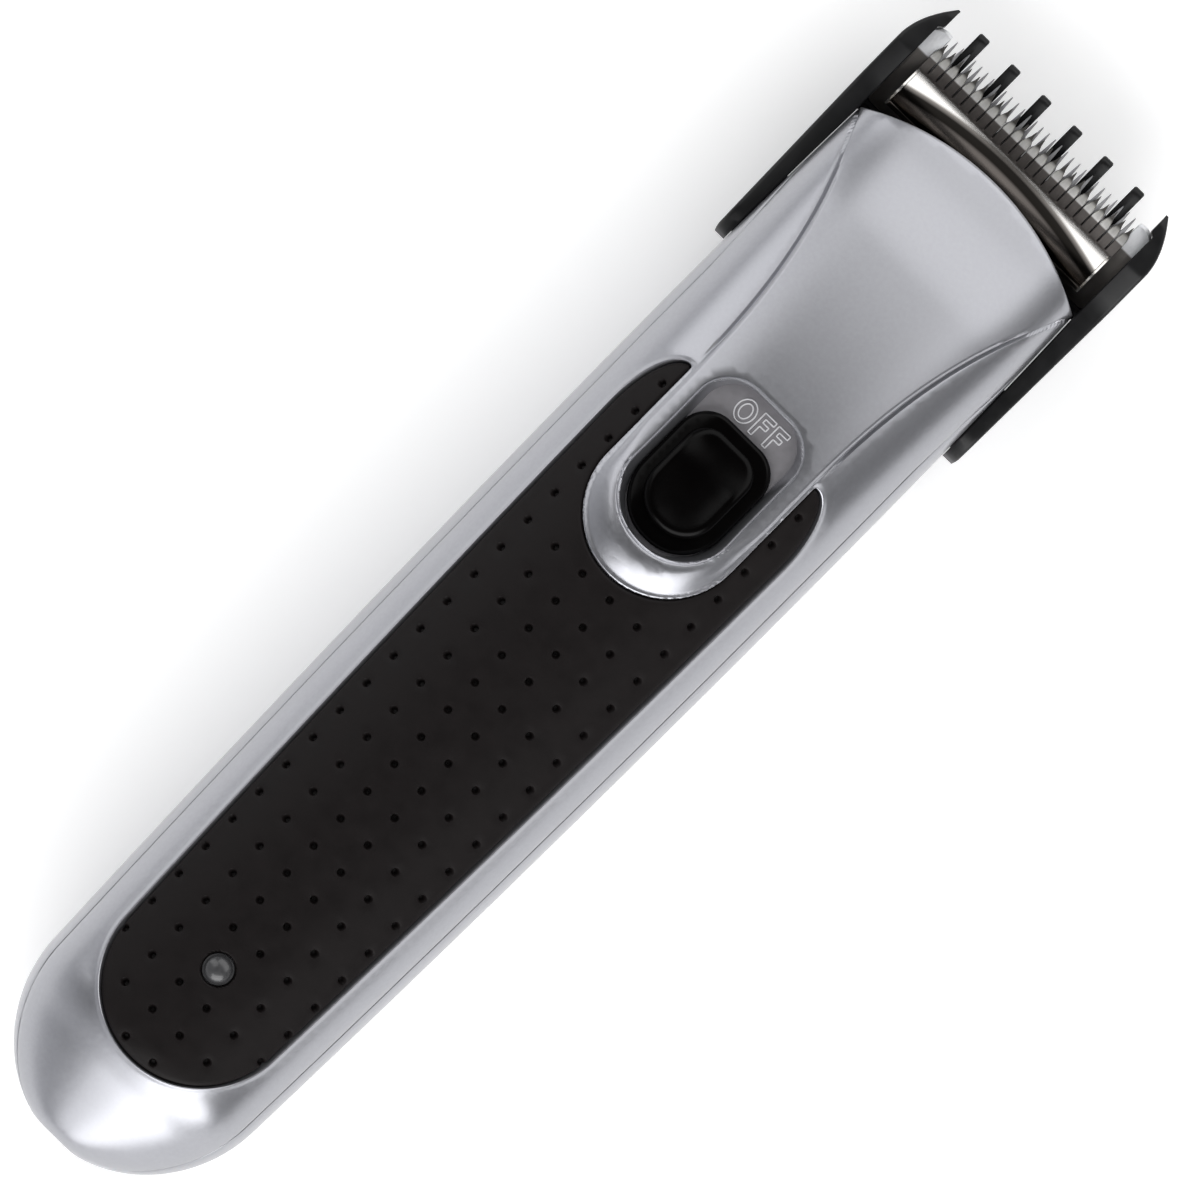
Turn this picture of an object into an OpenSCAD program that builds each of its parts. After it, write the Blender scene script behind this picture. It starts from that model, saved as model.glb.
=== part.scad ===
// Cordless hair clipper with a sliding thumb switch and a slide-on guide comb.
// X runs across the body, Y along it towards the blades, and Z up out of the thumb side.
// The clipper lies on its flat back at Z = 0.

/* [Body] */
// Half of the widest part of the body
body_half_w = 17.85; // [17.4:0.05:18.0]
// Height of the thumb side above the back
body_depth = 28; // [27.5:0.1:28.5]
// Thickness of the shell walls
wall = 2; // [1.8:0.1:2.1]
// Depth of the soft grip in the front shell
grip_depth = 0.9; // [0.6:0.1:1.0]

/* [Blades] */
// Tilt of the blades towards the thumb side
blade_tilt = 25; // [23:1:26]
// Pitch of the fixed blade's teeth
fixed_pitch = 1; // [0.9:0.05:1.1]
// Pitch of the moving blade's teeth
moving_pitch = 1.32; // [1.2:0.02:1.34]

/* [Comb] */
// Pitch of the comb's tines
tine_pitch = 5.04; // [4.8:0.02:5.2]
// Width of a comb tine
tine_w = 1.6; // [1.2:0.1:2.0]

/* [Hidden] */
$fn = 48;

// Longitudinal stations of the body
nose_y = -83.2;
end_y = -66.8;
wide_y = 33;
top_y = 72.4;
nose_t = 0.985;
nose_len = (end_y - nose_y) / nose_t;
mid_z = 13;
crown = body_depth - mid_z;
belly = mid_z + 0.6;

// Plan arc that ends the shells at the head
head_r = 36;
head_y = 71.8;

// Switch recess
slot_half_w = 6.87;
slot_y = [13.5, 35.2];
plate_z = [25, 26.2];
button_half_w = 6.44;
button_y = [14, 30.8];
stem_y = [18.6, 24.4];
knob_y = [20.5, 22.5];
travel = 4;

// Blades: origin at the tips of the fixed blade
tip_y = 80.3;
tip_z = 12;
cutter_half_w = 15.65;
fixed_half_w = 17.7;
curl_y = 75.1;
curl_r = 5.5;
root = -18;

// Drive
axis_z = 12.5;
motor_r = 10.2;
motor_flat = 7.7;
motor_y = [14, 40];
shaft_r = 1;
throw_r = 1;
pin_r = 0.75;

// Battery and board
cell_r = 7.25;
cell_y = [-68, -17.5];
cell_z = 10.6;
board_z = [20.6, 21.8];
board_half_w = 7;
led_y = -55.8;
socket_r = 3.6;

// Screws of the shells: [x, y, height of the tip, height of the head's face]
shell_screws = [for (s = [-1, 1]) each [[s * 9.8, -8, 22.6, 1.4], [s * 9.6, 53, 20.4, 4.0]]];
screw_head = 1.6;
split_z = 18;
tower_r = 2.6;
board_screw_xy = [for (s = [-1, 1], y = [-44, 6]) [s * 5.2, y]];
bracket_screw_xy = [for (s = [-1, 1]) [s * 9.1, 44.6]];

// ---- Body surface ---------------------------------------------------------

function clamp01(t) = max(0, min(1, t));
function smooth(t) = let (u = clamp01(t)) u * u * (3 - 2 * u);
function spow(v, e) = sign(v) * pow(abs(v), e);

// Half-width, height above mid_z and depth below it, along the straight part
function side_w(y) = body_half_w - (y < wide_y ? 0.000175 : 0.00048) * pow(y - wide_y, 2);
function top_h(y) = crown - (y < 10 ? 1.2 * pow((10 - y) / 77, 2) : 8 * pow(clamp01((y - 28) / 44), 1.5));
function back_h(y) = belly - 5.6 * pow(clamp01((y - 25) / 47), 1.5);
function seam_a(y) = 22 * (1 - smooth((y - 40) / 30));

// Height of the nose at share t of its length: rounded on the back, nearly a cone on the thumb side
function nose_drop(t, up) =
    let (dome = pow(1 - pow(t, 2.4), 1 / 2.4),
        cone = pow(pow(dome, -9) + pow(1.13 - 0.74 * t, -9), -1 / 9),
        share = smooth(t / 0.4))
    up ? dome * (1 - share) + cone * share : dome;

// Point of the body surface at station y, angle a, moved out by off
function body_point(y, a, off) =
    let (t = clamp01((end_y - y) / nose_len),
        yy = y < end_y ? end_y - t * (nose_len + off) : y,
        ew = sqrt(1 - t * t),
        up = sin(a) >= 0,
        eh = nose_drop(t, up),
        n = up ? 2.5 : 2.8,
        h = up ? top_h(y) : back_h(y))
    [(side_w(y) + off) * ew * spow(cos(a), 2 / n), yy, mid_z + (h + off) * eh * spow(sin(a), 2 / n)];

// Closed sheet between two offsets of the body surface; it wraps the nose if nose is true
module body_sheet(ys, from, to, steps, outer, inner, nose = false) {
    rows = len(ys);
    cols = steps + 1;
    layer = rows * cols;
    function ang(y, j) = let (a = from(y), b = to(y)) a + (b - a) * j / steps;
    points = [for (off = [outer, inner], y = ys, j = [0:steps]) body_point(y, ang(y, j), off)];
    function quad(a, b, c, d) = [[a, b, c], [a, c, d]];
    skin = [for (i = [0:rows - 2], j = [0:steps - 1]) let (p = i * cols + j)
        each quad(p, p + cols, p + cols + 1, p + 1)];
    lining = [for (f = skin) [f[2] + layer, f[1] + layer, f[0] + layer]];
    edges = [for (i = [0:rows - 2]) let (p = i * cols, q = p + steps)
        each concat(quad(p, p + layer, p + cols + layer, p + cols),
            quad(q, q + cols, q + cols + layer, q + layer))];
    last = (rows - 1) * cols;
    mouth = [for (j = [0:steps - 1]) let (p = last + j) each quad(p, p + layer, p + layer + 1, p + 1)];
    tail = nose
        ? concat([for (j = [1:steps - 1]) [0, j, j + 1]],
            [for (j = [1:steps - 1]) [layer, layer + j + 1, layer + j]],
            quad(0, steps, steps + layer, layer))
        : [for (j = [0:steps - 1]) each quad(j, j + 1, j + 1 + layer, j + layer)];
    polyhedron(points, [for (f = concat(skin, lining, edges, mouth, tail)) [f[2], f[1], f[0]]]);
}

shell_rows = concat([for (t = [nose_t, 0.93, 0.84, 0.72, 0.56, 0.38, 0.2]) end_y - t * nose_len],
    [end_y, -45, -20, 0, 14, 28, 36, 42, 48, 54, 60, 66, top_y]);
grip_rows = concat([for (t = [0.5, 0.3, 0.15]) end_y - t * nose_len],
    [end_y, -50, -35, -20, -5, 8, 18, 26, 34]);

// Everything past the arc that ends the shells
module past_head(z0, z1) {
    translate([0, 0, z0]) linear_extrude(z1 - z0) difference() {
        translate([-30, head_y - 12]) square([60, 30]);
        translate([0, head_y - head_r]) circle(head_r, $fn = 120);
    }
}

module blade_frame() {
    translate([0, tip_y, tip_z]) rotate([blade_tilt, 0, 0]) children();
}

module rounded_slot(half_w, y, r_low, r_high) {
    hull() {
        for (s = [-1, 1]) {
            translate([s * (half_w - r_low), y[0] + r_low]) circle(r_low);
            translate([s * (half_w - r_high), y[1] - r_high]) circle(r_high);
        }
    }
}

// ---- Housing --------------------------------------------------------------

module grip_outline() {
    function side(y) = side_w(y) - 3.95 - 0.008 * (25 - y);
    end_r = side(-58.5);
    right = concat([for (a = [80:-20:0]) [10.2 + 3.72 * cos(a), 23 + 9.1 * sin(a)]],
        [for (y = [10:-17:-41]) [side(y), y]]);
    heel = [for (a = [0:-10:-180]) [end_r * cos(a), -58.5 + 11.8 * sin(a)]];
    left = [for (i = [len(right) - 1:-1:0]) [-right[i][0], right[i][1]]];
    notch = [for (a = [180:12:360]) [9.95 * cos(a), 18.1 + 9.95 * sin(a)]];
    polygon(concat(right, heel, left, [[-9.95, 31.6]], notch, [[9.95, 31.6]]));
}

module grip_layer(outer) {
    intersection() {
        body_sheet(grip_rows, function(y) 34, function(y) 146, 14, outer, -grip_depth);
        translate([0, 0, 14]) linear_extrude(18) grip_outline();
    }
}

module switch_outline() {
    rounded_slot(8.4, [slot_y[0] - 1.5, slot_y[1] + 1.6], 7.2, 5.6);
}

module front_housing() {
    color("silver") difference() {
        union() {
            body_sheet(shell_rows, function(y) seam_a(y), function(y) 180 - seam_a(y), 22, 0, -wall, true);
            for (p = shell_screws)
                translate([p[0], p[1], split_z]) cylinder(r = tower_r, h = p[2] + 1.2 - split_z);
            for (p = board_screw_xy)
                translate([p[0], p[1], board_z[1]]) cylinder(r = 1.8, h = 26 - board_z[1]);
        }
        past_head(0, 40);
        grip_layer(1.2);
        translate([0, 0, 20]) linear_extrude(12) rounded_slot(slot_half_w, slot_y, 6.7, 4.4);
        translate([0, 0, 20]) linear_extrude(plate_z[1] - 20) switch_outline();
        translate([0, led_y, 20]) cylinder(r = 1.95, h = 10);
        translate([0, nose_y + 8, mid_z]) rotate([90, 0, 0]) cylinder(r = socket_r, h = 12);
        for (p = shell_screws)
            translate([p[0], p[1], split_z - 1]) cylinder(r = 1.12, h = p[2] + 1.4 - split_z);
        for (p = board_screw_xy)
            translate([p[0], p[1], board_z[1] - 1]) cylinder(r = 0.8, h = 4.2);
    }
}

// Groove that guides one arm of the comb, open at the head
module comb_groove(s) {
    translate([s > 0 ? 16.55 : -19.55, 44, 8.25]) cube([3, 30, 2.5]);
}

module rear_housing() {
    color("silver") difference() {
        union() {
            body_sheet(shell_rows, function(y) 180 - seam_a(y), function(y) 360 + seam_a(y), 26, 0, -wall, true);
            for (p = shell_screws)
                translate([p[0], p[1], p[3] + 0.5]) cylinder(r = tower_r, h = split_z - p[3] - 0.5);
            for (y = [-58, -26]) difference() {
                translate([-9, y, 1]) cube([18, 1.6, 7]);
                translate([0, y + 4, cell_z]) rotate([90, 0, 0]) cylinder(r = cell_r, h = 8);
            }
            for (p = bracket_screw_xy)
                translate([p[0], p[1], 2.6]) cylinder(r = 2, h = 2.4);
        }
        translate([-40, -100, -5]) cube([80, 200, 5]);
        past_head(-5, 40);
        blade_frame() translate([-15.2, root - 0.6, -12]) cube([30.4, 30, 16]);
        translate([0, nose_y + 8, mid_z]) rotate([90, 0, 0]) cylinder(r = socket_r, h = 12);
        for (s = [-1, 1]) comb_groove(s);
        for (p = shell_screws) {
            translate([p[0], p[1], -1]) cylinder(r = 2.1, h = p[3] + screw_head + 1);
            translate([p[0], p[1], p[3]]) cylinder(r = 1.25, h = split_z);
        }
        for (p = bracket_screw_xy)
            translate([p[0], p[1], 3]) cylinder(r = 0.8, h = 4);
    }
}

module grip_inlay() {
    color("#1b1a1a") difference() {
        grip_layer(0);
        translate([0, led_y, 20]) cylinder(r = 1.95, h = 10);
    }
}

module housing_screws() {
    color("dimgray") for (p = shell_screws) translate([p[0], p[1], p[3]]) {
        cylinder(r = 1.9, h = screw_head);
        translate([0, 0, screw_head]) cylinder(r = 1.1, h = p[2] - p[3] - screw_head);
    }
}

module led_lens() {
    color("#2c2c2e") translate([0, led_y, 0]) {
        translate([0, 0, 25.2]) cylinder(r = 1.9, h = 1.8);
        intersection() {
            translate([0, 0, 26]) sphere(1.65);
            translate([-3, -3, 26.9]) cube([6, 6, 2]);
        }
    }
}

// ---- Switch ---------------------------------------------------------------

module switch_plate() {
    color("gray") difference() {
        translate([0, 0, plate_z[0]]) linear_extrude(plate_z[1] - plate_z[0]) switch_outline();
        translate([-1.6, stem_y[0] - 0.4, 20]) cube([3.2, stem_y[1] - stem_y[0] + travel + 0.8, 10]);
    }
}

module switch_button() {
    flange_z = plate_z[1] + 0.2;
    color("#161616") {
        difference() {
            union() {
                translate([0, 0, flange_z]) linear_extrude(1) rounded_slot(button_half_w, button_y, 6.2, 4);
                translate([0, 0, flange_z + 1]) linear_extrude(1.9) rounded_slot(4.77, [16.3, 29.1], 4.5, 3);
                translate([-1.3, stem_y[0], 24.7]) cube([2.6, stem_y[1] - stem_y[0], 2]);
            }
            translate([0, 22.7, 45.6]) rotate([0, 90, 0]) cylinder(r = 17.6, h = 20, center = true);
            translate([-2, knob_y[0] - 0.1, 24]) cube([4, knob_y[1] - knob_y[0] + 0.2, 2.1]);
        }
    }
}

module slide_switch_body() {
    color("silver") difference() {
        translate([-3.6, 17.5, board_z[1]]) cube([7.2, 12, 2.6]);
        translate([-1.15, knob_y[0] - 0.4, board_z[1] + 0.5]) cube([2.3, knob_y[1] - knob_y[0] + travel + 0.8, 3]);
    }
}

module slide_switch_knob() {
    color("#202020") translate([-1, knob_y[0], board_z[1] + 0.6]) cube([2, knob_y[1] - knob_y[0], 3.4]);
}

// ---- Blades ---------------------------------------------------------------

// Plate with a row of pointed teeth: tips at y = 0, running back to y = back
module toothed_plate(half_w, toothed_w, back, pitch, depth, slit_w, skew) {
    count = round(2 * toothed_w / pitch);
    start = -count * pitch / 2;
    difference() {
        translate([-half_w, back]) square([2 * half_w, -back]);
        for (i = [0:count]) translate([start + i * pitch, 0])
            polygon([[-slit_w * skew, 0.1], [-slit_w / 2, -1.3], [-slit_w / 2, -depth],
                [slit_w / 2, -depth], [slit_w / 2, -1.3], [slit_w * skew, 0.1]]);
    }
}

module fixed_blade() {
    color("gainsboro") blade_frame() difference() {
        translate([0, 0, -1]) linear_extrude(1) difference() {
            toothed_plate(fixed_half_w, 15, root, fixed_pitch, 5.2, 0.42, 0.7);
            for (s = [-1, 1]) translate([s * 17.7 - 2.9, root - 1]) square([5.8, 6.5]);
        }
        for (s = [-1, 1]) translate([s * 9, -15.5, 0]) {
            translate([0, 0, -2]) cylinder(r = 1, h = 3);
            translate([0, 0, -2]) cylinder(r = 2, h = 1.6);
        }
    }
}

module blade_screws() {
    color("dimgray") blade_frame() for (s = [-1, 1]) translate([s * 9, -15.5, 0]) {
        translate([0, 0, -1]) cylinder(r = 1.9, h = 0.6);
        translate([0, 0, -0.4]) cylinder(r = 0.95, h = 2);
    }
}

module blade_base() {
    color("#1e1e1e") difference() {
        union() {
            blade_frame() {
                translate([-14.8, root, 0]) cube([29.6, 5, 2]);
                translate([-17.6, -14.2, 0]) cube([35.2, 1.2, 1]);
            }
            translate([-13, 63.2, 5.2]) cube([26, 1.4, 11.4]);
        }
        translate([-5.2, 62, 9.6]) cube([10.4, 4, 5.8]);
        blade_frame() for (s = [-1, 1])
            translate([s * 9, -15.5, -1]) cylinder(r = 1, h = 2.8);
    }
}

rivet_xy = [for (s = [-1, 1]) [s * 3.2, -10.4]];

module moving_blade() {
    color("lightgray") {
        difference() {
            blade_frame() translate([0, -1.1, 0.03]) linear_extrude(0.77)
                toothed_plate(cutter_half_w, 15.2, -11.4, moving_pitch, 4, 0.5, 1.15);
            blade_frame() for (p = rivet_xy)
                translate([p[0], p[1], -1]) cylinder(r = 0.6, h = 3);
        }
        translate([0, curl_y, tip_z + 3.96]) rotate([90, 0, 90])
            linear_extrude(2 * cutter_half_w, center = true) intersection() {
                difference() {
                    circle(curl_r + 0.6, $fn = 96);
                    circle(curl_r, $fn = 96);
                }
                translate([-10, -10]) square([10, 10]);
            }
    }
}

module cutter_driver() {
    color("white") difference() {
        union() {
            blade_frame() translate([-5, -12.4, 0.8]) cube([10, 3.9, 1.1]);
            translate([-3, 66, 8.9]) cube([6, 3.4, 2.3]);
            translate([-3.4, 57, 10.8]) cube([6.8, 11.4, 3.4]);
            for (s = [-1, 1]) translate([s > 0 ? 3.1 : -4.6, 51, 10]) cube([1.5, 7, 5]);
            translate([-4.6, 56.6, 10.8]) cube([9.2, 1.4, 3.4]);
        }
        blade_frame() for (p = rivet_xy)
            translate([p[0], p[1], -1]) cylinder(r = 0.6, h = 6);
        translate([-3.1, 50, 9]) cube([6.2, 7, 7]);
    }
}

module driver_rivets() {
    color("silver") blade_frame() for (p = rivet_xy)
        translate([p[0], p[1], 0.1]) cylinder(r = 0.58, h = 1.7);
}

// ---- Comb -----------------------------------------------------------------

module comb_arm() {
    arc = [for (a = [0:10:60]) [15 + 5 * cos(a), 76.4 + 7.4 * sin(a)]];
    intersection() {
        linear_extrude(20) polygon(concat(
            [[18.15, 45.3], [19.2, 45.3], [19.6, 46], [20, 70]], arc,
            [[17.2, 83.2], [16.9, 82.6], [17, 81.2], [18.15, 80.4]]));
        rotate([90, 0, 90]) linear_extrude(25) polygon(concat(
            [for (a = [90:20:270]) [49.8 + 4.5 * cos(a), 8.5 + 4.5 * sin(a)]],
            [[66, 2.8], [70, 2.8], [75, 5.2], [84, 9.4], [84, 17], [76, 17], [70, 14.4], [62, 13]]));
    }
    translate([16.75, 46.5, 8.5]) cube([1.6, 9.3, 2]);
}

module guide_comb() {
    color("#141414") {
        for (s = [0, 1]) mirror([s, 0, 0]) comb_arm();
        blade_frame() {
            translate([-18.6, -15.5, -3]) cube([37.2, 5.5, 1.4]);
            for (i = [-2.5:2.5]) translate([i * tine_pitch - tine_w / 2, 0, 0])
                rotate([90, 0, 90]) linear_extrude(tine_w)
                    polygon([[-12, -3], [-12, -1.6], [1.2, -1.5], [2, -1.9], [1.9, -2.4], [0.8, -2.7]]);
        }
    }
}

module blade_spring() {
    side = [[-8, 70.5, 9.2], [-8, 68, 9], [-8, 66.2, 9.4], [-6.5, 65.4, 9.6]];
    mirrored = [for (i = [3:-1:0]) [-side[i][0], side[i][1], side[i][2]]];
    color("gray") tube(concat(side, mirrored), 0.4);
}

// Tube swept along points, with flat ends
module tube(points, r, sides = 8) {
    n = len(points);
    function unit(v) = v / norm(v);
    function along(i) = unit(points[min(i + 1, n - 1)] - points[max(i - 1, 0)]);
    function across(i) = let (d = along(i)) unit(cross(d, abs(d[2]) > 0.9 ? [0, 1, 0] : [0, 0, 1]));
    rings = [for (i = [0:n - 1]) let (u = across(i), v = cross(along(i), u))
        each [for (k = [0:sides - 1]) points[i] + r * (cos(360 * k / sides) * u + sin(360 * k / sides) * v)]];
    polyhedron(rings, concat(
        [for (i = [0:n - 2], k = [0:sides - 1]) let (a = i * sides + k, b = i * sides + (k + 1) % sides)
            each [[a, a + sides, b], [b, a + sides, b + sides]]],
        [for (k = [1:sides - 2]) [0, k, k + 1]],
        [for (k = [1:sides - 2]) let (e = (n - 1) * sides) [e, e + k + 1, e + k]]));
}

// ---- Motor ----------------------------------------------------------------

module along_y(y, z = axis_z) {
    translate([0, y, z]) rotate([-90, 0, 0]) children();
}

module can_section(r, flat) {
    intersection() {
        circle(r);
        translate([-r - 1, -flat]) square([2 * r + 2, 2 * flat]);
    }
}

module motor_can() {
    color("silver") along_y(motor_y[0]) difference() {
        linear_extrude(motor_y[1] - motor_y[0]) can_section(motor_r, motor_flat);
        translate([0, 0, -1]) linear_extrude(motor_y[1] - motor_y[0] + 0.2)
            can_section(motor_r - 0.8, motor_flat - 0.8);
        cylinder(r = 2.4, h = 40);
        for (s = [-1, 1]) translate([s * 6.5, 0, 20]) cylinder(r = 0.95, h = 10);
    }
}

module motor_magnets() {
    color("#3a3a3c") along_y(18) for (s = [0, 180]) rotate([0, 0, s]) linear_extrude(18) difference() {
        intersection() {
            circle(motor_r - 0.85);
            translate([3, -5.9]) square([10, 11.8]);
        }
        circle(7.5);
    }
}

module armature_section() {
    circle(2.6);
    for (a = [0:120:240]) rotate([0, 0, a]) {
        translate([0, -1]) square([6, 2]);
        intersection() {
            difference() {
                circle(6.7);
                circle(5.4);
            }
            polygon([[0, 0], [9, 12], [14, 0], [9, -12]]);
        }
    }
}

module motor_armature() {
    color("slategray") along_y(20) linear_extrude(14) difference() {
        armature_section();
        circle(shaft_r);
    }
}

module motor_windings() {
    color("peru") along_y(18.6) for (a = [0:120:240]) rotate([0, 0, a]) difference() {
        translate([2.9, -1.9, 0]) cube([2, 3.8, 16.8]);
        translate([0, -1.02, 1.38]) cube([9, 2.04, 14.04]);
    }
}

module motor_commutator() {
    color("chocolate") along_y(14.8) difference() {
        cylinder(r = 2.3, h = 3.4);
        translate([0, 0, -1]) cylinder(r = shaft_r, h = 6);
    }
}

module motor_shaft() {
    color("gainsboro") along_y(12) cylinder(r = shaft_r, h = 35);
}

module motor_bushings() {
    color("goldenrod") for (y = [12.2, 39.2]) along_y(y) difference() {
        cylinder(r = 2.4, h = 2.3);
        translate([0, 0, -1]) cylinder(r = shaft_r + 0.04, h = 5);
    }
}

module motor_end_cap() {
    color("white") along_y(12.2) difference() {
        linear_extrude(1.8) can_section(motor_r, motor_flat);
        translate([0, 0, -1]) cylinder(r = 2.4, h = 4);
        for (s = [-1, 1]) translate([s * 6 - 0.2, -1, -1]) cube([0.4, 2, 5]);
    }
}

module motor_terminals() {
    color("goldenrod") along_y(9.8) for (s = [-1, 1])
        translate([s * 6 - 0.2, -1, 0]) cube([0.4, 2, 4.6]);
}

module motor_brushes() {
    color("goldenrod") along_y(15.2) for (s = [-1, 1]) {
        translate([s * 2.6 - 0.15, -3, 0]) cube([0.3, 6, 1.6]);
        translate([s > 0 ? 2.75 : -5.8, -1, -0.8]) cube([3.05, 2, 0.4]);
    }
}

module eccentric_cam() {
    color("white") along_y(44.2) {
        difference() {
            cylinder(r = 4.5, h = 5.6);
            translate([0, 0, -1]) cylinder(r = shaft_r, h = 3.8);
        }
        translate([throw_r, 0, 5.6]) cylinder(r = pin_r, h = 6.6);
    }
}

module motor_bracket() {
    color("#303030") difference() {
        union() {
            translate([-12, motor_y[1], 5]) cube([24, 2, 14.4]);
            for (p = bracket_screw_xy)
                translate([p[0] - 2.2, motor_y[1], 5]) cube([4.4, 7.2, 1.6]);
        }
        along_y(motor_y[1] - 1) {
            cylinder(r = 4.4, h = 5);
            for (s = [-1, 1]) translate([s * 6.5, 0, 0]) cylinder(r = 0.95, h = 5);
        }
        for (p = bracket_screw_xy)
            translate([p[0], p[1], 4]) cylinder(r = 0.95, h = 4);
    }
}

module motor_screws() {
    color("dimgray") for (s = [-1, 1]) translate([s * 6.5, 0, 0]) along_y(38.4) {
        cylinder(r = 0.9, h = 3.6);
        translate([0, 0, 3.6]) cylinder(r = 1.7, h = 1.1);
    }
}

module bracket_screws() {
    color("dimgray") for (p = bracket_screw_xy) translate([p[0], p[1], 0]) {
        translate([0, 0, 3.2]) cylinder(r = 0.78, h = 3.4);
        translate([0, 0, 6.6]) cylinder(r = 1.6, h = 1.1);
    }
}

// ---- Battery, board and wiring --------------------------------------------

module battery_cell() {
    color("seagreen") along_y(cell_y[0], cell_z) cylinder(r = cell_r - 0.05, h = cell_y[1] - cell_y[0]);
}

module battery_cap() {
    color("silver") along_y(cell_y[1], cell_z) cylinder(r = 2.7, h = 1);
}

module battery_tabs() {
    color("gainsboro") for (y = [cell_y[0] - 0.3, cell_y[1] + 1])
        translate([-2.5, y, 8]) cube([5, 0.3, board_z[0] - 8]);
}

module circuit_board() {
    color("darkgreen") difference() {
        translate([-board_half_w, -69.5, board_z[0]])
            cube([2 * board_half_w, 105.5, board_z[1] - board_z[0]]);
        for (p = board_screw_xy)
            translate([p[0], p[1], board_z[0] - 1]) cylinder(r = 0.95, h = 4);
    }
}

module board_components() {
    color("#222222") {
        translate([-4, -36, board_z[1]]) cube([5, 4, 1.4]);
        for (i = [0:3]) translate([-5 + 3 * i, -26, board_z[1]]) cube([1.2, 2, 0.7]);
        translate([3.6, -34, board_z[1]]) cylinder(r = 1.6, h = 3);
        translate([-5, -14, board_z[1]]) cube([3, 4, 1.2]);
        translate([2, -15, board_z[1]]) cube([3.4, 5.2, 2]);
    }
}

module board_screws() {
    color("dimgray") for (p = board_screw_xy) translate([p[0], p[1], 0]) {
        translate([0, 0, board_z[0] - 1]) cylinder(r = 1.5, h = 1);
        translate([0, 0, board_z[0]]) cylinder(r = 0.78, h = 4);
    }
}

module status_led() {
    color("orangered") translate([0, led_y, board_z[1]]) {
        cylinder(r = 1.5, h = 1.8);
        intersection() {
            translate([0, 0, 1.6]) sphere(1.5);
            translate([-3, -3, 1.8]) cube([6, 6, 3]);
        }
    }
}

module charging_socket() {
    color("#151515") difference() {
        union() {
            along_y(nose_y, mid_z) cylinder(r = socket_r - 0.04, h = 11);
            translate([-4.4, nose_y + 9.8, mid_z - 4.4]) cube([8.8, 4, 8.8]);
        }
        along_y(nose_y - 1, mid_z) cylinder(r = 1.8, h = 11);
    }
}

module socket_pin() {
    color("gold") along_y(nose_y + 1, mid_z) cylinder(r = 0.65, h = 9);
}

module charge_leads() {
    color("firebrick") for (s = [-1, 1])
        tube([for (p = [[3.4, -69.4, 15.8], [3.4, -68.8, 15.8], [4.4, -68.2, 16.8], [5, -67.8, 18.4],
            [5, -67.6, 20], [5, -67.6, 20.6]]) [s * p[0], p[1], p[2]]], 0.45);
}

module motor_leads() {
    color("firebrick") for (s = [-1, 1])
        tube([for (p = [[6, 9.8, 12.5], [6, 9.2, 12.5], [5.6, 7.6, 13.6], [4.8, 7.6, 16], [4.4, 9.2, 18.2],
            [4.4, 10, 20], [4.4, 10, 20.6]]) [s * p[0], p[1], p[2]]], 0.45);
}

front_housing();
rear_housing();
grip_inlay();
switch_plate();
switch_button();
led_lens();
charging_socket();
socket_pin();
housing_screws();
blade_base();
fixed_blade();
blade_screws();
moving_blade();
cutter_driver();
driver_rivets();
blade_spring();
guide_comb();
motor_can();
motor_magnets();
motor_armature();
motor_windings();
motor_commutator();
motor_end_cap();
motor_bushings();
motor_brushes();
motor_terminals();
motor_shaft();
eccentric_cam();
motor_bracket();
motor_screws();
bracket_screws();
battery_cell();
battery_cap();
battery_tabs();
circuit_board();
board_components();
board_screws();
slide_switch_body();
slide_switch_knob();
status_led();
charge_leads();
motor_leads();
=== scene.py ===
"""Cordless hair clipper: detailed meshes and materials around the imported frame."""

import math

import bmesh
import bpy
import numpy as np
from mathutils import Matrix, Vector
from mathutils.geometry import delaunay_2d_cdt
from mathutils.kdtree import KDTree


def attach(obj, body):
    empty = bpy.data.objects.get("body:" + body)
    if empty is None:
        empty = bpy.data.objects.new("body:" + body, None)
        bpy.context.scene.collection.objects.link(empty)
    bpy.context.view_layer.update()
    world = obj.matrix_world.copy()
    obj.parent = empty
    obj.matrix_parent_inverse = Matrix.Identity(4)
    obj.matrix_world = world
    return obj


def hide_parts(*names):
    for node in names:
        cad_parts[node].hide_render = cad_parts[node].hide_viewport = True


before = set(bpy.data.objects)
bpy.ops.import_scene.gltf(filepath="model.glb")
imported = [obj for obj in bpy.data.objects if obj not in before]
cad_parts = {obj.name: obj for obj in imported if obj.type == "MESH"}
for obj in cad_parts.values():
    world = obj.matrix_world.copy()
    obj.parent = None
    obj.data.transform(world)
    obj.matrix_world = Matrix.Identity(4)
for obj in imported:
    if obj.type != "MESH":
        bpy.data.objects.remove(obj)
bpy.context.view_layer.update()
MM = 0.001

# ---- Body surface, in millimetres -------------------------------------------

HALF_W, MID_Z, CROWN, BELLY = 17.85, 13.0, 15.0, 13.6
NOSE_Y, END_Y, NOSE_T = -83.2, -66.8, 0.985
NOSE_LEN = (END_Y - NOSE_Y) / NOSE_T
HEAD_Y, HEAD_R = 71.8, 36.0
SOCKET_R = 3.62
TOP_POWER, BACK_POWER = 2.5, 2.8
LED_Y = -55.8
DEG_TO_MM = 0.22
BROAD_Y, TAIL_TAPER, HEAD_TAPER = 33, 0.000175, 0.00048
DOME_POWER, BLEND_POWER, CONE_TOP, CONE_FALL = 2.4, -9, 1.13, 0.74


def smooth(t):
    u = np.clip(t, 0, 1)
    return u * u * (3 - 2 * u)


def side_w(y):
    """Half width of the body, which is broadest at BROAD_Y."""
    return HALF_W - np.where(y < BROAD_Y, TAIL_TAPER, HEAD_TAPER) * (y - BROAD_Y) ** 2


def top_h(y):
    low = 1.2 * ((10 - y) / 77) ** 2
    return CROWN - np.where(y < 10, low, 8 * np.clip((y - 28) / 44, 0, 1) ** 1.5)


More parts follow.
